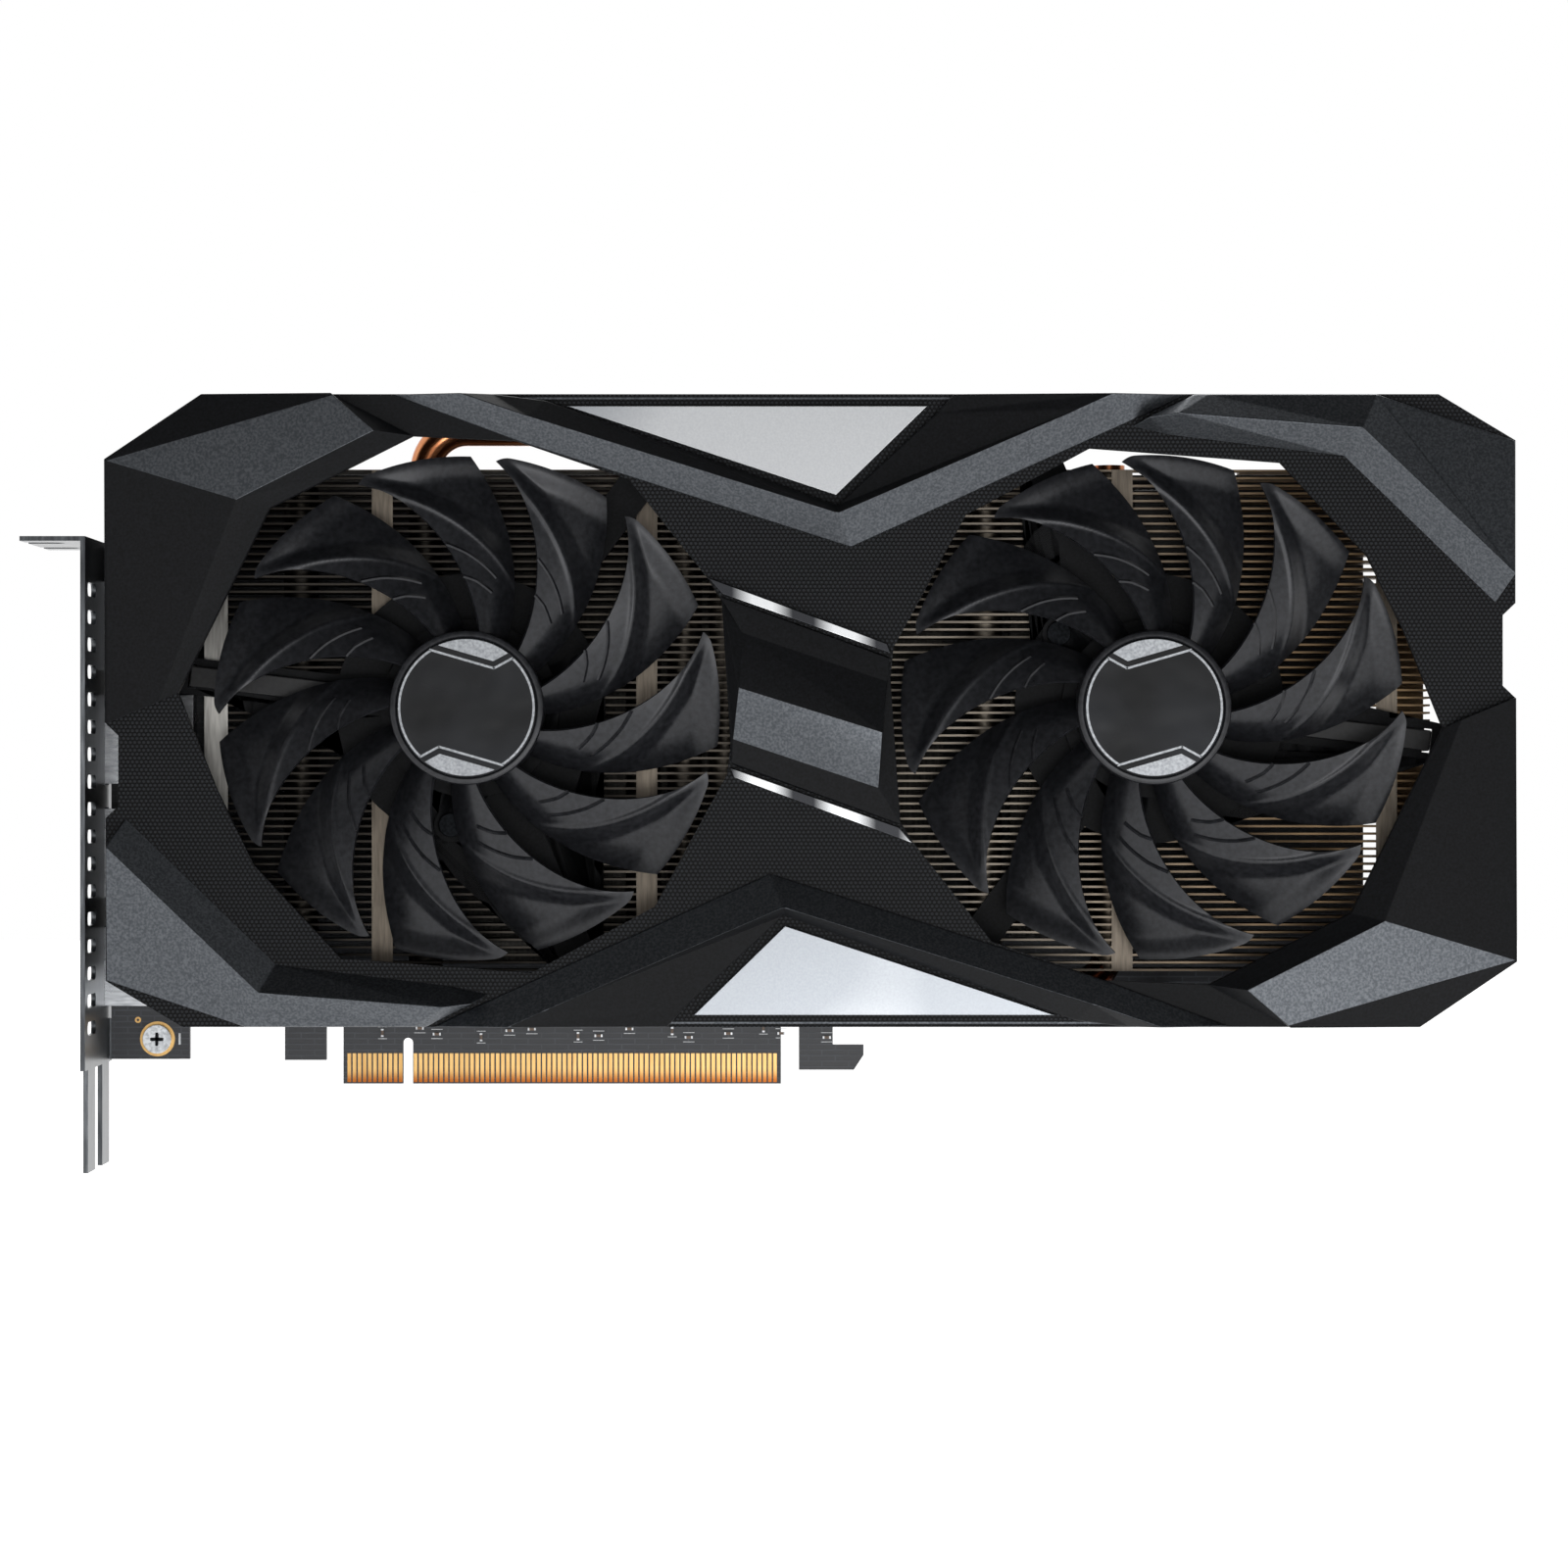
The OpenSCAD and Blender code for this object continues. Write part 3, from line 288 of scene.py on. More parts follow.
def rolled_metal(name, dark, light, roughness, stretch, grain_mm=0.35):
    """Rolled or drawn metal: its grain runs along the direction whose factor in stretch is small."""
    material, tree, shader, place = start_material(name, Metallic=1.0, Roughness=roughness)
    grain = speckle(tree, stretched(tree, place, stretch), grain_mm)
    stain = speckle(tree, place, 12, 3.0)
    both = add(tree, "ShaderNodeMath", {0: grain, 1: stain}, operation="MULTIPLY").outputs[0]
    tree.links.new(ramp(tree, both, 0.12, 0.4, dark, light), shader.inputs["Base Color"])
    rough = remapped(tree, stain, low=roughness - 0.06, high=roughness + 0.1)
    tree.links.new(rough, shader.inputs["Roughness"])
    relief(tree, shader, grain, 0.01, 0.4)
    return material


def solder_mask():
    """Black solder mask over copper tracks: satin, with the tracks standing faintly through it."""
    material, tree, shader, place = start_material("solder_mask_black", Roughness=0.42)
    flat = add(
        tree, "ShaderNodeVectorRotate", {"Vector": place, "Angle": math.radians(90)},
        rotation_type="X_AXIS").outputs[0]
    cells = add(
        tree, "ShaderNodeTexBrick",
        {"Vector": flat, "Scale": 1.0, "Mortar Size": 0.14 * MM,
         "Brick Width": 5.2 * MM, "Row Height": 1.1 * MM}).outputs["Fac"]
    blotch = speckle(tree, place, 3, 2.0)
    mixed = add(tree, "ShaderNodeMath", {0: cells, 1: blotch}, operation="MULTIPLY").outputs[0]
    tree.links.new(ramp(tree, mixed, 0.1, 0.7, "#26282c", "#3b3e44"), shader.inputs["Base Color"])
    relief(tree, shader, cells, 0.03, 0.5)
    return material


def moulded(name, dark, light, roughness, grain_mm=0.3, depth_mm=0.02):
    """A moulded, pressed or cast part with a fine even grain and slight change of tone."""
    material, tree, shader, place = start_material(name, Roughness=roughness)
    grain = speckle(tree, place, grain_mm, 3.0)
    tree.links.new(ramp(tree, grain, 0.3, 0.7, dark, light), shader.inputs["Base Color"])
    relief(tree, shader, grain, depth_mm, 0.5)
    return material


def winding():
    """Enamelled copper wire in close turns, 0.3 mm apart."""
    material, tree, shader, place = start_material("enamelled_copper_wire", Metallic=0.9, Roughness=0.3)
    turns = add(
        tree, "ShaderNodeTexWave", {"Vector": place, "Scale": 1 / (0.3 * MM) / 2, "Distortion": 0.4},
        bands_direction="Y").outputs["Fac"]
    tree.links.new(ramp(tree, turns, 0.1, 0.8, "#4a2011", "#c8743a"), shader.inputs["Base Color"])
    relief(tree, shader, turns, 0.1, 0.7)
    return material


FINISH = {
    "cover_plastic": textured_abs(),
    "trim_plastic": flecked_abs("ABS_metallic_flake", "#45484c", "#5b5e62", 0.36),
    "silver_plate": anodised_plate(),
    "fan_plastic": fan_pbt(),
    "badge_gloss": gloss_film(),
    "yoke_steel": rolled_metal("zinc_plated_steel", "#7d8186", "#b4b8bc", 0.35, (1, 1, 0.15)),
    "magnet": moulded("bonded_ferrite", "#2a2625", "#3d3836", 0.6),
    "bearing_bronze": rolled_metal("sintered_bronze", "#7a5427", "#b98848", 0.5, (1, 1, 1)),
    "winding_copper": winding(),
    "lead_sleeve": moulded("lead_sleeve_pvc", "#0c0c0d", "#1c1c1e", 0.5, 0.5),
    "fin_aluminium": fin_sheet(),
    "pipe_copper": drawn_copper(),
    "pad_silicone": moulded("thermal_pad_silicone", "#5d6a80", "#8292ab", 0.8, 0.4, 0.04),
    "board_black": solder_mask(),
    "contact_gold": hard_gold(),
    "package_green": moulded("glass_epoxy_green", "#0f3a22", "#1d5535", 0.45, 0.5),
    "die_silicon": rolled_metal("polished_silicon", "#4b5056", "#7b828a", 0.12, (1, 1, 1)),
    "chip_epoxy": moulded("epoxy_moulding", "#0e0e0f", "#1b1b1d", 0.5, 0.25),
    "choke_ferrite": moulded("pressed_ferrite", "#2b2b2d", "#4a4a4d", 0.6, 0.35, 0.04),
    "can_aluminium": rolled_metal("drawn_can_aluminium", "#a9abae", "#d8dadc", 0.25, (1, 0.15, 1)),
    "connector_black": moulded("nylon_black", "#0b0b0c", "#191a1c", 0.45),
    "header_nylon": moulded("nylon_natural", "#c9c2b0", "#e2dccb", 0.5),
    "backplate_metal": moulded("powder_coat_black", "#101113", "#202226", 0.42, 0.35, 0.03),
    "screw_steel": rolled_metal("nickel_plated_screw", "#8c8f93", "#cfd2d5", 0.25, (1, 0.2, 1)),
    "bracket_steel": rolled_metal("black_nickel_sheet", "#3f4144", "#6b6e71", 0.3, (1, 1, 0.1)),
    "socket_shell": rolled_metal("nickel_plated_shell", "#9a9da1", "#d2d4d7", 0.25, (0.2, 1, 1)),
}
HEX_DOTS = hex_dot_abs()
INK = moulded("silkscreen_ink", "#b9bcbf", "#e3e5e7", 0.6, 0.15)
BLACK_SCREW = rolled_metal("black_oxide_screw", "#0c0d0e", "#222427", 0.42, (1, 0.2, 1))
DULL_NICKEL = rolled_metal("dull_nickel_plate", "#3b3a38", "#5c5a56", 0.45, (1, 1, 0.15))
TIE_STRIP = rolled_metal("tie_strip_aluminium", "#5f5850", "#857c70", 0.4, (1, 1, 0.1))
END_STRIP = rolled_metal("end_strip_aluminium", "#8d8b87", "#c2c0bb", 0.35, (1, 1, 0.1))
TAN_CERAMIC = moulded("capacitor_ceramic", "#4f4036", "#6d5a4b", 0.45, 0.3)
TINNED = rolled_metal("tinned_terminal", "#9fa1a4", "#cfd1d3", 0.35, (1, 1, 1))
FOIL = hot_foil()
OWN_FINISH = {
    "silver_strips": polished_strip(),
    "fan_screws": BLACK_SCREW, "carrier_screws": BLACK_SCREW,
    "core_plate": DULL_NICKEL, "base_plate": DULL_NICKEL,
}


# ---- pieces ----

def finished(name, bm, materials, body, replaced=(), smooth=35):
    """Makes the mesh a piece of the object, riding on its body."""
    mesh = bpy.data.meshes.new(name)
    for face in bm.faces:
        face.smooth = True
    bm.to_mesh(mesh)
    bm.free()
    mesh.set_sharp_from_angle(angle=math.radians(smooth))
    for material in materials:
        mesh.materials.append(material)
    piece = bpy.data.objects.new(name, mesh)
    bpy.context.scene.collection.objects.link(piece)
    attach(piece, body)
    if replaced:
        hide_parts(*replaced)
    return piece


def node_mesh(node):
    """A CAD node's shape with its loose triangles joined and its flat faces whole."""
    bm = bmesh.new()
    bm.from_mesh(frame["nodes"][node].data)
    bmesh.ops.remove_doubles(bm, verts=bm.verts, dist=0.002 * MM)
    bmesh.ops.dissolve_limit(bm, angle_limit=math.radians(0.3), verts=bm.verts, edges=bm.edges)
    return bm


def rounded(piece, width_mm, segments=2, angle=28):
    """Rounds the piece's sharp edges."""
    bevel = piece.modifiers.new("edge_round", "BEVEL")
    bevel.width = width_mm * MM
    bevel.segments = segments
    bevel.limit_method = "ANGLE"
    bevel.angle_limit = math.radians(angle)
    bevel.harden_normals = True
    return piece


BODY = {node: body for body, group in frame["record"]["behaviour"]["bodies"].items() for node in group}
SLOT = {part["node"]: part["material_slot"] for part in frame["record"]["subparts"]}


def from_node(node, width_mm, sharp=28):
    """A CAD node finished in its own material, with edges sharper than that angle rounded."""
    slot = SLOT[node]
    finish = OWN_FINISH.get(node, FINISH[slot])
    piece = finished(node + "_made", node_mesh(node), [finish], BODY[node], [node], sharp + 4)
    return rounded(piece, width_mm, angle=sharp) if width_mm else piece


FACETED = {
    "edge_trim_left": 0.3, "edge_trim_right": 0.3,
    "silver_plate_upper": 0.12, "silver_plate_lower": 0.12, "silver_strips": 0.12,
}
for node, width_mm in FACETED.items():
    from_node(node, width_mm, 4)


def light_and_shade_facets(node, turn, lit_facing, width_mm):
    """A trim whose facets take the lighter flecked finish where the rule says they face the light, as painted
    light, and the darker grain finish elsewhere, as painted shade.
    """
    bm = node_mesh(node)
    for face in bm.faces:
        # Painted light and shade: a facet gets the lighter finish when its facing passes the rule.
        face.material_index = 0 if lit_facing(face.normal.y, face.normal.z * turn) else 1
    piece = finished(node + "_made", bm, [FINISH["trim_plastic"], FINISH["cover_plastic"]],
                     BODY[node], [node], 8)
    rounded(piece, width_mm, angle=4)


# The facets' finish is chosen by which way they face: the lighter flecked finish is painted light, the dark
# grain finish painted shade.
for first, second, lit_facing, width_mm in (
    ("corner_cover_left", "corner_cover_right", lambda y, z: y < -0.98 and z > 0.02, 0.3),
    ("v_trim_upper", "v_trim_lower", lambda y, z: z < 0.04, 0.25),
):
    light_and_shade_facets(first, 1, lit_facing, width_mm)
    light_and_shade_facets(second, -1, lit_facing, width_mm)
light_and_shade_facets("centre_bridge", 1, lambda y, z: z < -0.2 and y < -0.9, 0.25)


EDGE_ROUND = {
    "fan_base_left": 0.2, "fan_base_right": 0.2, "fan_carrier_left": 0.2, "fan_carrier_right": 0.2,
    "base_plate": 0.15, "core_plate": 0.15, "circuit_board": 0.0, "backplate": 0.25,
    "retention_plate": 0.15,
    "bracket": 0.12, "power_connector": 0.15, "hdmi_socket": 0.1, "displayport_sockets": 0.1,
    "chokes": 0.25, "capacitors": 0.2, "memory_chips": 0.08, "power_stages": 0.06,
    "processor_package": 0.1, "processor_die": 0.04, "fan_headers": 0.15,
    "fan_lead_left": 0.3, "fan_lead_right": 0.3, "fan_screws": 0.15, "carrier_screws": 0.15,
    "backplate_screws": 0.15, "spring_screws": 0.15, "bracket_screws": 0.15,
    "heat_pipes": 0.0, "fins": 0.0, "screw_springs": 0.0, "edge_contacts": 0.0, "power_pins": 0.1,
    "thermal_pads": 0.1, "rotor_yoke_left": 0.2, "rotor_yoke_right": 0.2, "magnet_ring_left": 0.1,
    "magnet_ring_right": 0.1, "shaft_left": 0.1, "shaft_right": 0.1,
    "bearing_left": 0.1, "bearing_right": 0.1,
    "stator_left": 0.15, "stator_right": 0.15, "fan_board_left": 0.05, "fan_board_right": 0.05,
}
for node, width_mm in EDGE_ROUND.items():
    from_node(node, width_mm)


def mm(x, y, z):
    """A point given in millimetres."""
    return Vector((x, y, z)) * MM


def ring(bm, centre, axis, profile, segments=48):
    """Spins a closed profile of (radius, height) points in mm round the axis through the centre."""
    axis = Vector(axis)
    out = axis.orthogonal().normalized()
    verts = [bm.verts.new(centre + (out * r + axis * h) * MM) for r, h in profile]
    face = bm.faces.new(verts)
    edges = list(face.edges)
    bm.faces.remove(face)
    bmesh.ops.spin(
        bm, geom=verts + edges, cent=centre, axis=axis, dvec=(0, 0, 0),
        angle=2 * math.pi, steps=segments, use_merge=True, use_duplicate=False)


def block(bm, low, high):
    """A box between two corners, in millimetres."""
    low, high = mm(*low), mm(*high)
    made = bmesh.ops.create_cube(bm, size=1)["verts"]
    bmesh.ops.scale(bm, verts=made, vec=high - low)
    bmesh.ops.translate(bm, verts=made, vec=(low + high) / 2)


# How far from the cover's middle its two smooth strips begin, along X and up Z.
STRIP_X = 55.5 * MM
STRIP_Z = 50.7 * MM


def cover():
    """The main cover: hex dots on its flat front, except two smooth strips, and plain grain elsewhere."""
    bm = node_mesh("shroud")
    low, high = (Vector(corner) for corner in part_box("shroud"))
    middle = (low + high) / 2
    for turn in (1, -1):
        for normal, reach in (((1, 0, 0), -STRIP_X * turn), ((0, 0, 1), STRIP_Z * turn)):
            bmesh.ops.bisect_plane(
                bm, geom=bm.verts[:] + bm.edges[:] + bm.faces[:], dist=0.001 * MM,
                plane_co=middle + Vector(normal) * reach, plane_no=normal)
    for face in bm.faces:
        centre = face.calc_center_median() - middle
        strip = any(centre.x * turn < -STRIP_X and centre.z * turn > STRIP_Z for turn in (1, -1))
        flat = all(v.co.y < low.y + 0.2 * MM for v in face.verts) and face.normal.y < -0.9
        face.material_index = 1 if flat and not strip else 0
    piece = finished("cover_shell", bm, [FINISH["cover_plastic"], HEX_DOTS],
                     "card", ["shroud"])
    rounded(piece, 0.3)


cover()

PIPE_LEGS = (-20, 4, 46, 54, 62, 70, 112, 136)
PIPE_Y = -8.9
PIPE_R = 3.0
COLLAR_GAP = 0.03
COLLAR_R = PIPE_R + 0.3


def fin_collars():
    """The collars of the fins, which close into sleeves round the heat pipes."""
    low, high = (Vector(corner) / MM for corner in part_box("fins"))
    bm = bmesh.new()
    inside, tall = PIPE_R + COLLAR_GAP, high.z - low.z
    for x in PIPE_LEGS:
        ring(bm, mm(x, PIPE_Y, low.z), (0, 0, 1), (
            (inside, 0), (COLLAR_R, 0), (COLLAR_R, tall), (inside, tall)))
    bmesh.ops.recalc_face_normals(bm, faces=bm.faces)
    finished("fin_collars", bm, [FINISH["fin_aluminium"]], "card")


fin_collars()

TIE_LEFT = (-5.8, 44.9, 136, 186.7)
TIE_WIDTH = 4
END_STRIP_WIDTH = 4.6


def fin_ties():
    """Bright strips down the front of the stack, which lock the fins at their pitch."""
    low, high = (Vector(corner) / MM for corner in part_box("fins"))
    bm = bmesh.new()
    for x in TIE_LEFT:
        block(bm, (x, low.y - 0.08, low.z), (x + TIE_WIDTH, low.y + 0.2, high.z))
    finished("fin_tie_strips", bm, [TIE_STRIP], "card")
    bm = bmesh.new()
    block(bm, (low.x + 0.1, low.y - 0.08, low.z), (low.x + END_STRIP_WIDTH, low.y + 0.2, high.z))
    finished("fin_end_strip", bm, [END_STRIP], "card")


fin_ties()

# Where the upper rail's painted highlight line runs, from the cover's middle; the lower one is its half turn.
RAIL_START = -60.4
RAIL_END = 27.3
RAIL_LEVEL = 58.9
RAIL_HALF_WIDTH = 0.17


def rail_highlight_lines():
    """A fine lighter line along each black rail beside the silver plates: a painted highlight."""
    low, high = (Vector(corner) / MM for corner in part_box("shroud"))
    bm = bmesh.new()
    middle = (low + high) / 2
    for turn in (1, -1):
        left, right = sorted((middle.x + RAIL_START * turn, middle.x + RAIL_END * turn))
        level = middle.z + RAIL_LEVEL * turn
        block(bm, (left, low.y - 0.1, level - RAIL_HALF_WIDTH), (right, low.y + 0.2, level + RAIL_HALF_WIDTH))
    finished("rail_highlight_lines", bm, [FINISH["trim_plastic"]], "card")


rail_highlight_lines()

CHIPS = 15
CHIP_LEFT = -5
CHIP_PITCH = 6.1
CHIP_ROW = 9.9


def small_parts():
    """Chip capacitors and resistors on the strip of board above the edge contacts, with plain marks."""
    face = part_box("circuit_board")[0][1] / MM
    ceramic, ends, ink = bmesh.new(), bmesh.new(), bmesh.new()
    for i in range(CHIPS):
        x = CHIP_LEFT + i * CHIP_PITCH + 1.6 * math.sin(i * 2.3)
        z = CHIP_ROW + 0.9 * math.sin(i * 1.7)
        tall = i % 3 == 0
        half_x, half_z = (0.25, 0.5) if tall else (0.5, 0.25)
        block(ceramic, (x - half_x, face - 0.45, z - half_z), (x + half_x, face + 0.02, z + half_z))
        for turn in (1, -1):
            end_x, end_z = (x, z + turn * (half_z + 0.12)) if tall else (x + turn * (half_x + 0.12), z)
            rx, rz = (half_x, 0.16) if tall else (0.16, half_z)
            block(ends, (end_x - rx, face - 0.46, end_z - rz), (end_x + rx, face + 0.02, end_z + rz))
        for turn in (1, -1):
            block(ink, (x - half_x - 0.6, face - 0.03, z + turn * (half_z + 0.65) - 0.06),
                  (x + half_x + 0.6, face + 0.02, z + turn * (half_z + 0.65) + 0.06))
    finished("chip_capacitors", ceramic, [TAN_CERAMIC], "card")
    finished("chip_terminals", ends, [TINNED], "card")
    finished("board_marks", ink, [INK], "card")


small_parts()

BRACKET_HEAD_R = 2.8


def foot_details():
    """Round the bracket's screw on the board's foot: a gold ring, a small via, a white mark, and a dark cross
    on the screw head that is painted shade for its recess.
    """
    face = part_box("circuit_board")[0][1] / MM
    screw = [Vector(corner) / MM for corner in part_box("bracket_screws")]
    x, z = (screw[0].x + screw[1].x) / 2, screw[0].z + BRACKET_HEAD_R
    gold = bmesh.new()
    ring(gold, mm(x, face, z), (0, -1, 0), ((1.6, 0), (3.4, 0), (3.4, 0.05), (1.6, 0.05)))
    ring(gold, mm(x - 3.8, face, z + 3.7), (0, -1, 0), ((0.25, 0), (0.6, 0), (0.6, 0.04), (0.25, 0.04)), 24)
    bmesh.ops.recalc_face_normals(gold, faces=gold.faces)
    finished("foot_pad_gold", gold, [FINISH["contact_gold"]], "card")
    # Painted shade: a dark cross laid over the screw head where its recess would lie in shadow.
    recess_shade_cross = bmesh.new()
    head = screw[0].y
    for half_x, half_z in ((1.3, 0.26), (0.26, 1.3)):
        block(recess_shade_cross, (x - half_x, head - 0.01, z - half_z), (x + half_x, head + 0.2, z + half_z))
    finished("foot_screw_recess_shade", recess_shade_cross, [BLACK_SCREW], "card")
    ink = bmesh.new()
    block(ink, (x + 4.1, face - 0.03, z - 1.1), (x + 4.5, face, z + 1.1))
    finished("foot_mark", ink, [INK], "card")


foot_details()


# ---- fans ----

def step(x):
    """0 below 0, 1 above 1 and a smooth S between."""
    x = min(max(x, 0.0), 1.0)
    return x * x * (3 - 2 * x)


class Fan:
    """One impeller about its own axis; lengths in mm, angles in degrees clockwise from in front."""

    blades = 11
    hub_r = 14.6
    root_r = 13.9

    def __init__(self, side, tip_angle):
        self.side = side
        self.tip_angle = tip_angle
        low, high = (Vector(corner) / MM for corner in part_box("impeller_" + side))
        badge = [Vector(corner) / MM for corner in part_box("hub_badge_" + side)]
        self.x = (badge[0].x + badge[1].x) / 2
        self.z = (badge[0].z + badge[1].z) / 2
        self.front = low.y
        self.back = high.y
        self.badge_front = badge[0].y
        self.badge_r = (badge[1].x - badge[0].x) / 2
        self.tip_r = (high.z - low.z) / 2 - 0.1

    def place(self, r, angle, y):
        """A point at that radius and angle."""
        a = math.radians(angle)
        return Vector((self.x + r * math.sin(a), y, self.z + r * math.cos(a))) * MM

    def edges(self, r):
        """How far the blade's leading and trailing edges lag behind its tip at that radius."""
        out = (r - self.hub_r) / (self.tip_r - self.hub_r)
        bulge = 12 * max(out, 0) ** 3 * (1 - out)
        return 35.5 * (1 - out) + bulge, 55.5 - 29.1 * out

    def surface(self, r, lag):
        """The Y of the blade's front there: a curved vane with a stepped-down winglet behind its tip."""
        lead, trail = self.edges(r)
        chord = (lag - lead) / (trail - lead)
        y = self.front + 1.2 + 6.0 * chord - 0.9 * math.sin(math.pi * chord)
        inward = self.tip_r - r
        crease = 1 + 1.85 * inward + 0.02 * inward ** 2
        across = math.radians(lag - crease) * r * 0.59
        half = 0.25 + 1.5 * min(max(inward, 0) / 6, 1)
        fade = step(inward / 5)
        y += 1.5 * step((across + half) / (2 * half)) * fade
        y -= 0.35 * math.exp(-((across + half) / 0.45) ** 2) * fade
        return y

    def blade(self, bm, tip):
        """A blade as one thin shell."""
        rows, columns = 64, 44
        made = bmesh.ops.create_grid(bm, x_segments=rows, y_segments=columns, size=0.5)["verts"]
        for v in made:
            out, chord = v.co.x + 0.5, v.co.y + 0.5
            r = self.root_r + (self.tip_r - self.root_r) * out
            lead, trail = self.edges(r)
            lag = lead + (trail - lead) * chord
            corner = 0.9 * (max(0, 0.12 - chord) / 0.12) ** 2 * out ** 6
            v.co = self.place(r - corner, tip + lag, self.surface(r, lag))
        faces = list({face for v in made for face in v.link_faces})
        bmesh.ops.recalc_face_normals(bm, faces=faces)
        if sum(face.normal.y for face in faces) > 0:
            bmesh.ops.reverse_faces(bm, faces=faces)
        bmesh.ops.solidify(bm, geom=faces, thickness=0.75 * MM)

    def rib(self, bm, tip, path, width=0.75, proud=0.32):
        """A thin raised rib along the blade's front, through the (radius, lag) points of the path."""
        points = 22
        made = bmesh.ops.create_grid(bm, x_segments=points, y_segments=2, size=0.5)["verts"]
        for v in made:
            along = (v.co.x + 0.5) * (len(path) - 1)
            i = min(int(along), len(path) - 2)
            part = along - i
            r = path[i][0] * (1 - part) + path[i + 1][0] * part
            lag = path[i][1] * (1 - part) + path[i + 1][1] * part
            r += v.co.y * width * 0.9
            lag += math.degrees(v.co.y * width * 0.35 / r)
            rise = proud if abs(v.co.y) < 0.2 else 0.0
            v.co = self.place(r, tip + lag, self.surface(r, lag) - rise)
        faces = list({face for v in made for face in v.link_faces})
        bmesh.ops.recalc_face_normals(bm, faces=faces)
        if sum(face.normal.y for face in faces) > 0:
            bmesh.ops.reverse_faces(bm, faces=faces)
        bmesh.ops.solidify(bm, geom=faces, thickness=0.3 * MM)

    def turned(self, bm, profile, segments=128):
        """Spins a closed profile of (radius, y) points round the fan's axis."""
        verts = [bm.verts.new(self.place(r, 0, y)) for r, y in profile]
        face = bm.faces.new(verts)
        edges = list(face.edges)
        bm.faces.remove(face)
        bmesh.ops.spin(
            bm, geom=verts + edges, cent=self.place(0, 0, 0), axis=(0, 1, 0), dvec=(0, 0, 0),
            angle=2 * math.pi, steps=segments, use_merge=True, use_duplicate=False)

    def impeller(self):
        """Hub and blades."""
        bm = bmesh.new()
        self.turned(bm, (
            (3, self.front + 1.3), (self.badge_r + 0.05, self.front + 1.3),
            (self.badge_r + 0.05, self.front + 0.2), (self.badge_r + 0.25, self.front),
            (14.0, self.front), (14.4, self.front + 0.15),
            (self.hub_r, self.front + 0.6), (self.hub_r, self.back), (13.5, self.back),
            (13.5, self.front + 2), (3, self.front + 2),
        ))
        bmesh.ops.recalc_face_normals(bm, faces=bm.faces)
        for i in range(self.blades):
            tip = self.tip_angle + i * 360 / self.blades
            self.blade(bm, tip)
            self.rib(bm, tip, ((24.9, 24.6), (24.2, 30), (22.4, 38)))
            self.rib(bm, tip, ((31.2, 18.8), (29.4, 25.7), (27.6, 31.5), (25.3, 38.5)))
        finished("impeller_" + self.side + "_moulded", bm, [FINISH["fan_plastic"]],
                 "fan_" + self.side, ["impeller_" + self.side], 40)

    def badge(self, mirror):
        """The hub's gloss disc, with a foil line round it and foil patches above and below."""
        y = self.badge_front
        body = "fan_" + self.side
        disc = bmesh.new()
        self.turned(disc, (
            (0.01, y + 0.1), (self.badge_r - 0.5, y + 0.1), (self.badge_r - 0.3, y + 0.1),
            (self.badge_r, y + 0.35), (self.badge_r, y + 0.6), (0.01, y + 0.6),
        ), 96)
        bmesh.ops.remove_doubles(disc, verts=disc.verts, dist=0.05 * MM)
        bmesh.ops.recalc_face_normals(disc, faces=disc.faces)
        finished("badge_disc_" + self.side, disc, [FINISH["badge_gloss"]], body,
                 ["hub_badge_" + self.side])
        foil = bmesh.new()
        line_r = 12.7
        chevron = [Vector((mirror * p[0], 0, p[1])) for p in ((-6.9, 10.9), (5.2, 7.4), (8.7, 9.3))]
        for turn in (1, -1):
            ends = [p * turn for p in chevron]
            self.bar(foil, ends[0], ends[1], 0.42, y)
            self.bar(foil, ends[1], ends[2], 0.42, y)
            self.patch(foil, ends, 1.25, 12.9, y)
            self.arc(foil, ends[2], -chevron[0] * turn, line_r, 0.42, y)
        finished("badge_foil_" + self.side, foil, [FOIL], body)

    def bar(self, bm, a, b, width, y):
        """A thin straight line of foil from a to b."""
        made = bmesh.ops.create_cube(bm, size=1)["verts"]
        span = b - a
        turn = math.atan2(span.z, span.x)
        for v in made:
            long = v.co.x * (span.length + width * 0.6)
            wide = v.co.z * width
            at = (a + b) / 2 + Vector((long * math.cos(turn) - wide * math.sin(turn), 0,
                                       long * math.sin(turn) + wide * math.cos(turn)))
            v.co = Vector((self.x + at.x, y + 0.11 + v.co.y * 0.14, self.z + at.z)) * MM

    def arc(self, bm, a, b, r, width, y):
        """A thin arc of foil at radius r between the directions of a and b."""
        start = math.degrees(math.atan2(a.x, a.z))
        end = math.degrees(math.atan2(b.x, b.z))
        sweep = (end - start + 180) % 360 - 180
        made = bmesh.ops.create_grid(bm, x_segments=48, y_segments=1, size=0.5)["verts"]
        for v in made:
            v.co = self.place(r + v.co.y * width, start + sweep * (v.co.x + 0.5), y + 0.04)
        self.thicken(bm, made, 0.14)

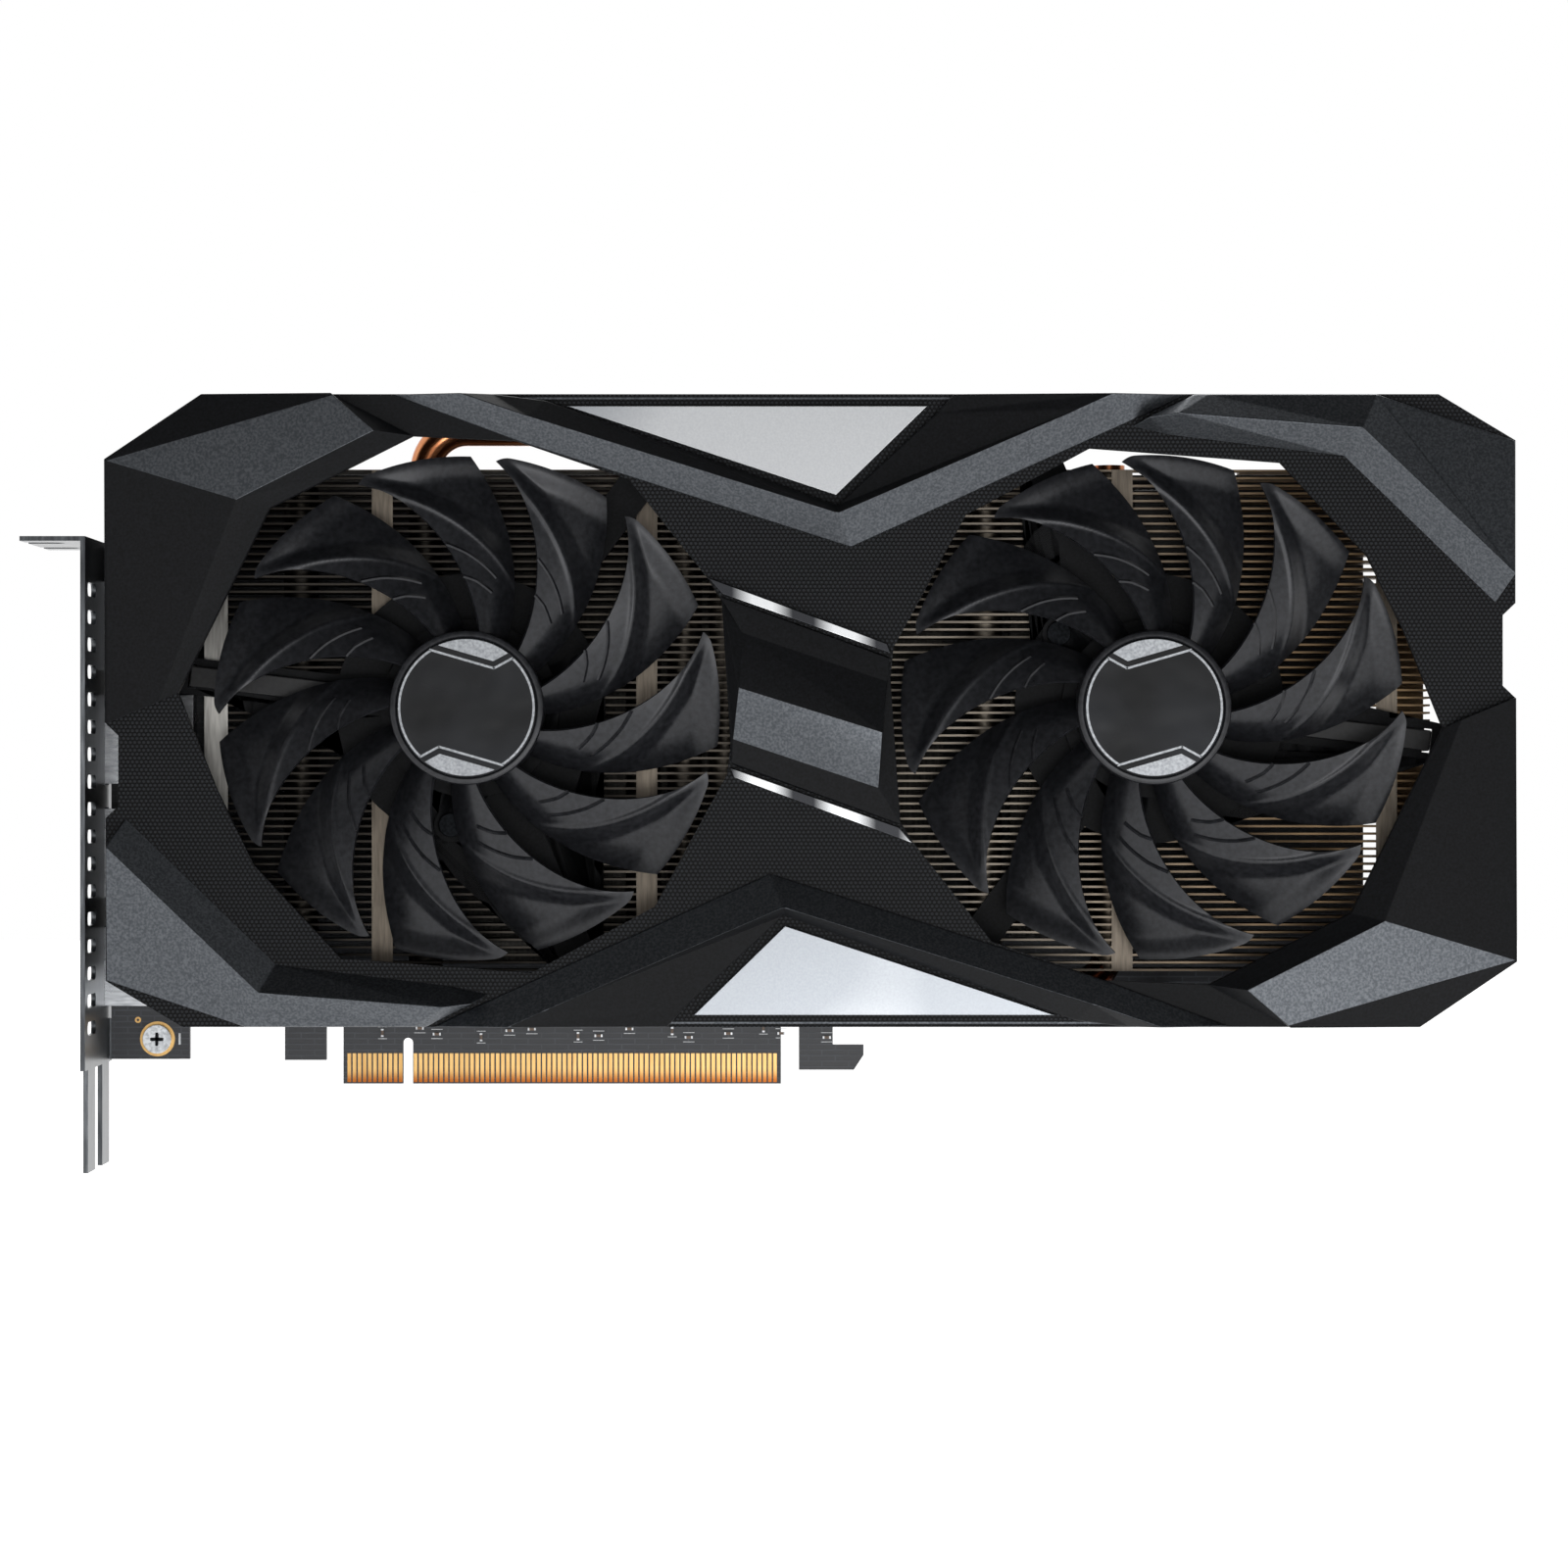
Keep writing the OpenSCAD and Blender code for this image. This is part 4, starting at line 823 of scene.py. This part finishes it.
    def patch(self, bm, chevron, gap, r, y):
        """The part of a disc of radius r that lies beyond a chevron by the gap."""
        made = bmesh.ops.create_circle(bm, cap_ends=True, segments=128, radius=1)["verts"]
        for v in made:
            v.co = Vector((v.co.x * r, 0, v.co.y * r))
        edges = list({edge for v in made for edge in v.link_edges})
        geometry = made + edges + list({face for v in made for face in v.link_faces})
        out = (chevron[0] + chevron[2]).normalized()
        for a, b in ((chevron[0], chevron[1]), (chevron[1], chevron[2])):
            across = (b - a).cross(Vector((0, 1, 0))).normalized()
            across = across if across.dot(out) > 0 else -across
            cut = bmesh.ops.bisect_plane(
                bm, geom=geometry, plane_co=a + across * gap, plane_no=across, clear_inner=True)
            geometry = [g for g in cut["geom"] if g.is_valid]
        made = [g for g in geometry if isinstance(g, bmesh.types.BMVert)]
        for v in made:
            v.co = Vector((self.x + v.co.x, y + 0.04, self.z + v.co.z)) * MM
        self.thicken(bm, made, 0.14)

    def thicken(self, bm, verts, depth):
        """Gives the flat sheet through the verts its depth, with its front towards the air."""
        faces = list({face for v in verts for face in v.link_faces})
        bmesh.ops.recalc_face_normals(bm, faces=faces)
        if sum(face.normal.y for face in faces) > 0:
            bmesh.ops.reverse_faces(bm, faces=faces)
        bmesh.ops.solidify(bm, geom=faces, thickness=depth * MM)


for side, tip_angle, mirror in (("left", 6.8, 1), ("right", -7.4, -1)):
    fan = Fan(side, tip_angle)
    fan.impeller()
    fan.badge(mirror)


# ---- floor, lights and camera ----

FLOOR_Z = cad_box[0][2] - 0.14
MIDDLE = (0.0732, -0.02, 0.06)


def floor():
    """A plain pale floor under and behind the object."""
    mesh = bpy.data.meshes.new("floor")
    bm = bmesh.new()
    bmesh.ops.create_grid(bm, x_segments=1, y_segments=1, size=6)
    bmesh.ops.translate(bm, verts=bm.verts, vec=(0, 0, FLOOR_Z))
    bm.to_mesh(mesh)
    bm.free()
    pale = bpy.data.materials.new("pale_floor")
    pale.use_nodes = True
    shader = pale.node_tree.nodes["Principled BSDF"]
    shader.inputs["Base Color"].default_value = hex_colour("#f4f4f4")
    shader.inputs["Roughness"].default_value = 1.0
    shader.inputs["Specular IOR Level"].default_value = 0.0
    shader.inputs["Emission Color"].default_value = hex_colour("#ffffff")
    shader.inputs["Emission Strength"].default_value = 0.8
    mesh.materials.append(pale)
    piece = bpy.data.objects.new("floor", mesh)
    bpy.context.scene.collection.objects.link(piece)


def softbox(name, place, target, size, watts):
    """A soft square light, aimed at the target."""
    light = bpy.data.lights.new(name, "AREA")
    light.shape = "RECTANGLE"
    light.size, light.size_y = size
    light.energy = watts
    made = bpy.data.objects.new(name, light)
    made.location = place
    made.rotation_euler = (Vector(target) - Vector(place)).to_track_quat("-Z", "Y").to_euler()
    made.visible_camera = False
    bpy.context.scene.collection.objects.link(made)


def studio_air():
    """Soft light from all round, dim above the front and to its sides; plain white where it shows."""
    world = bpy.data.worlds.new("studio_air")
    bpy.context.scene.world = world
    world.use_nodes = True
    tree = world.node_tree
    tree.nodes.clear()
    direction = add(tree, "ShaderNodeTexCoord").outputs["Generated"]
    glow = None
    for towards, start, end, dimmest in (
        ((0, -0.55, 0.835), 0.55, 0.85, 0.07),
        ((0.8, -0.6, 0), 0.65, 0.9, 0.15),
        ((-0.75, -0.58, -0.32), 0.55, 0.85, 0.12),
    ):
        facing = add(
            tree, "ShaderNodeVectorMath", {0: direction, 1: towards},
            operation="DOT_PRODUCT").outputs["Value"]
        dimmed = remapped(tree, facing, start, end, 1.0, dimmest, smooth=True)
        glow = dimmed if glow is None else add(
            tree, "ShaderNodeMath", {0: glow, 1: dimmed}, operation="MULTIPLY").outputs[0]
    around = add(tree, "ShaderNodeBackground", {"Strength": glow, "Color": (1, 1, 1, 1)}).outputs[0]
    seen = add(tree, "ShaderNodeBackground", {"Strength": 1.0, "Color": (1, 1, 1, 1)}).outputs[0]
    straight = add(tree, "ShaderNodeLightPath").outputs["Is Camera Ray"]
    mix = add(tree, "ShaderNodeMixShader", {0: straight, 1: around, 2: seen}).outputs[0]
    add(tree, "ShaderNodeOutputWorld", {"Surface": mix})


floor()
studio_air()
softbox("low_front_softbox", (0.2, -0.75, -0.09), MIDDLE, (0.4, 0.12), 0.8)
softbox("overhead_softbox", (0.07, 0.9, 0.9), MIDDLE, (1.0, 0.6), 8)

camera = bpy.data.cameras.new("camera")
camera.sensor_width = 36
camera.lens = 117.8
viewer = bpy.data.objects.new("camera", camera)
viewer.location = (0.0732, -1.0, 0.05835)
viewer.rotation_euler = (math.radians(90), 0, 0)
bpy.context.scene.collection.objects.link(viewer)
bpy.context.scene.camera = viewer
bpy.context.scene.view_settings.view_transform = "Standard"
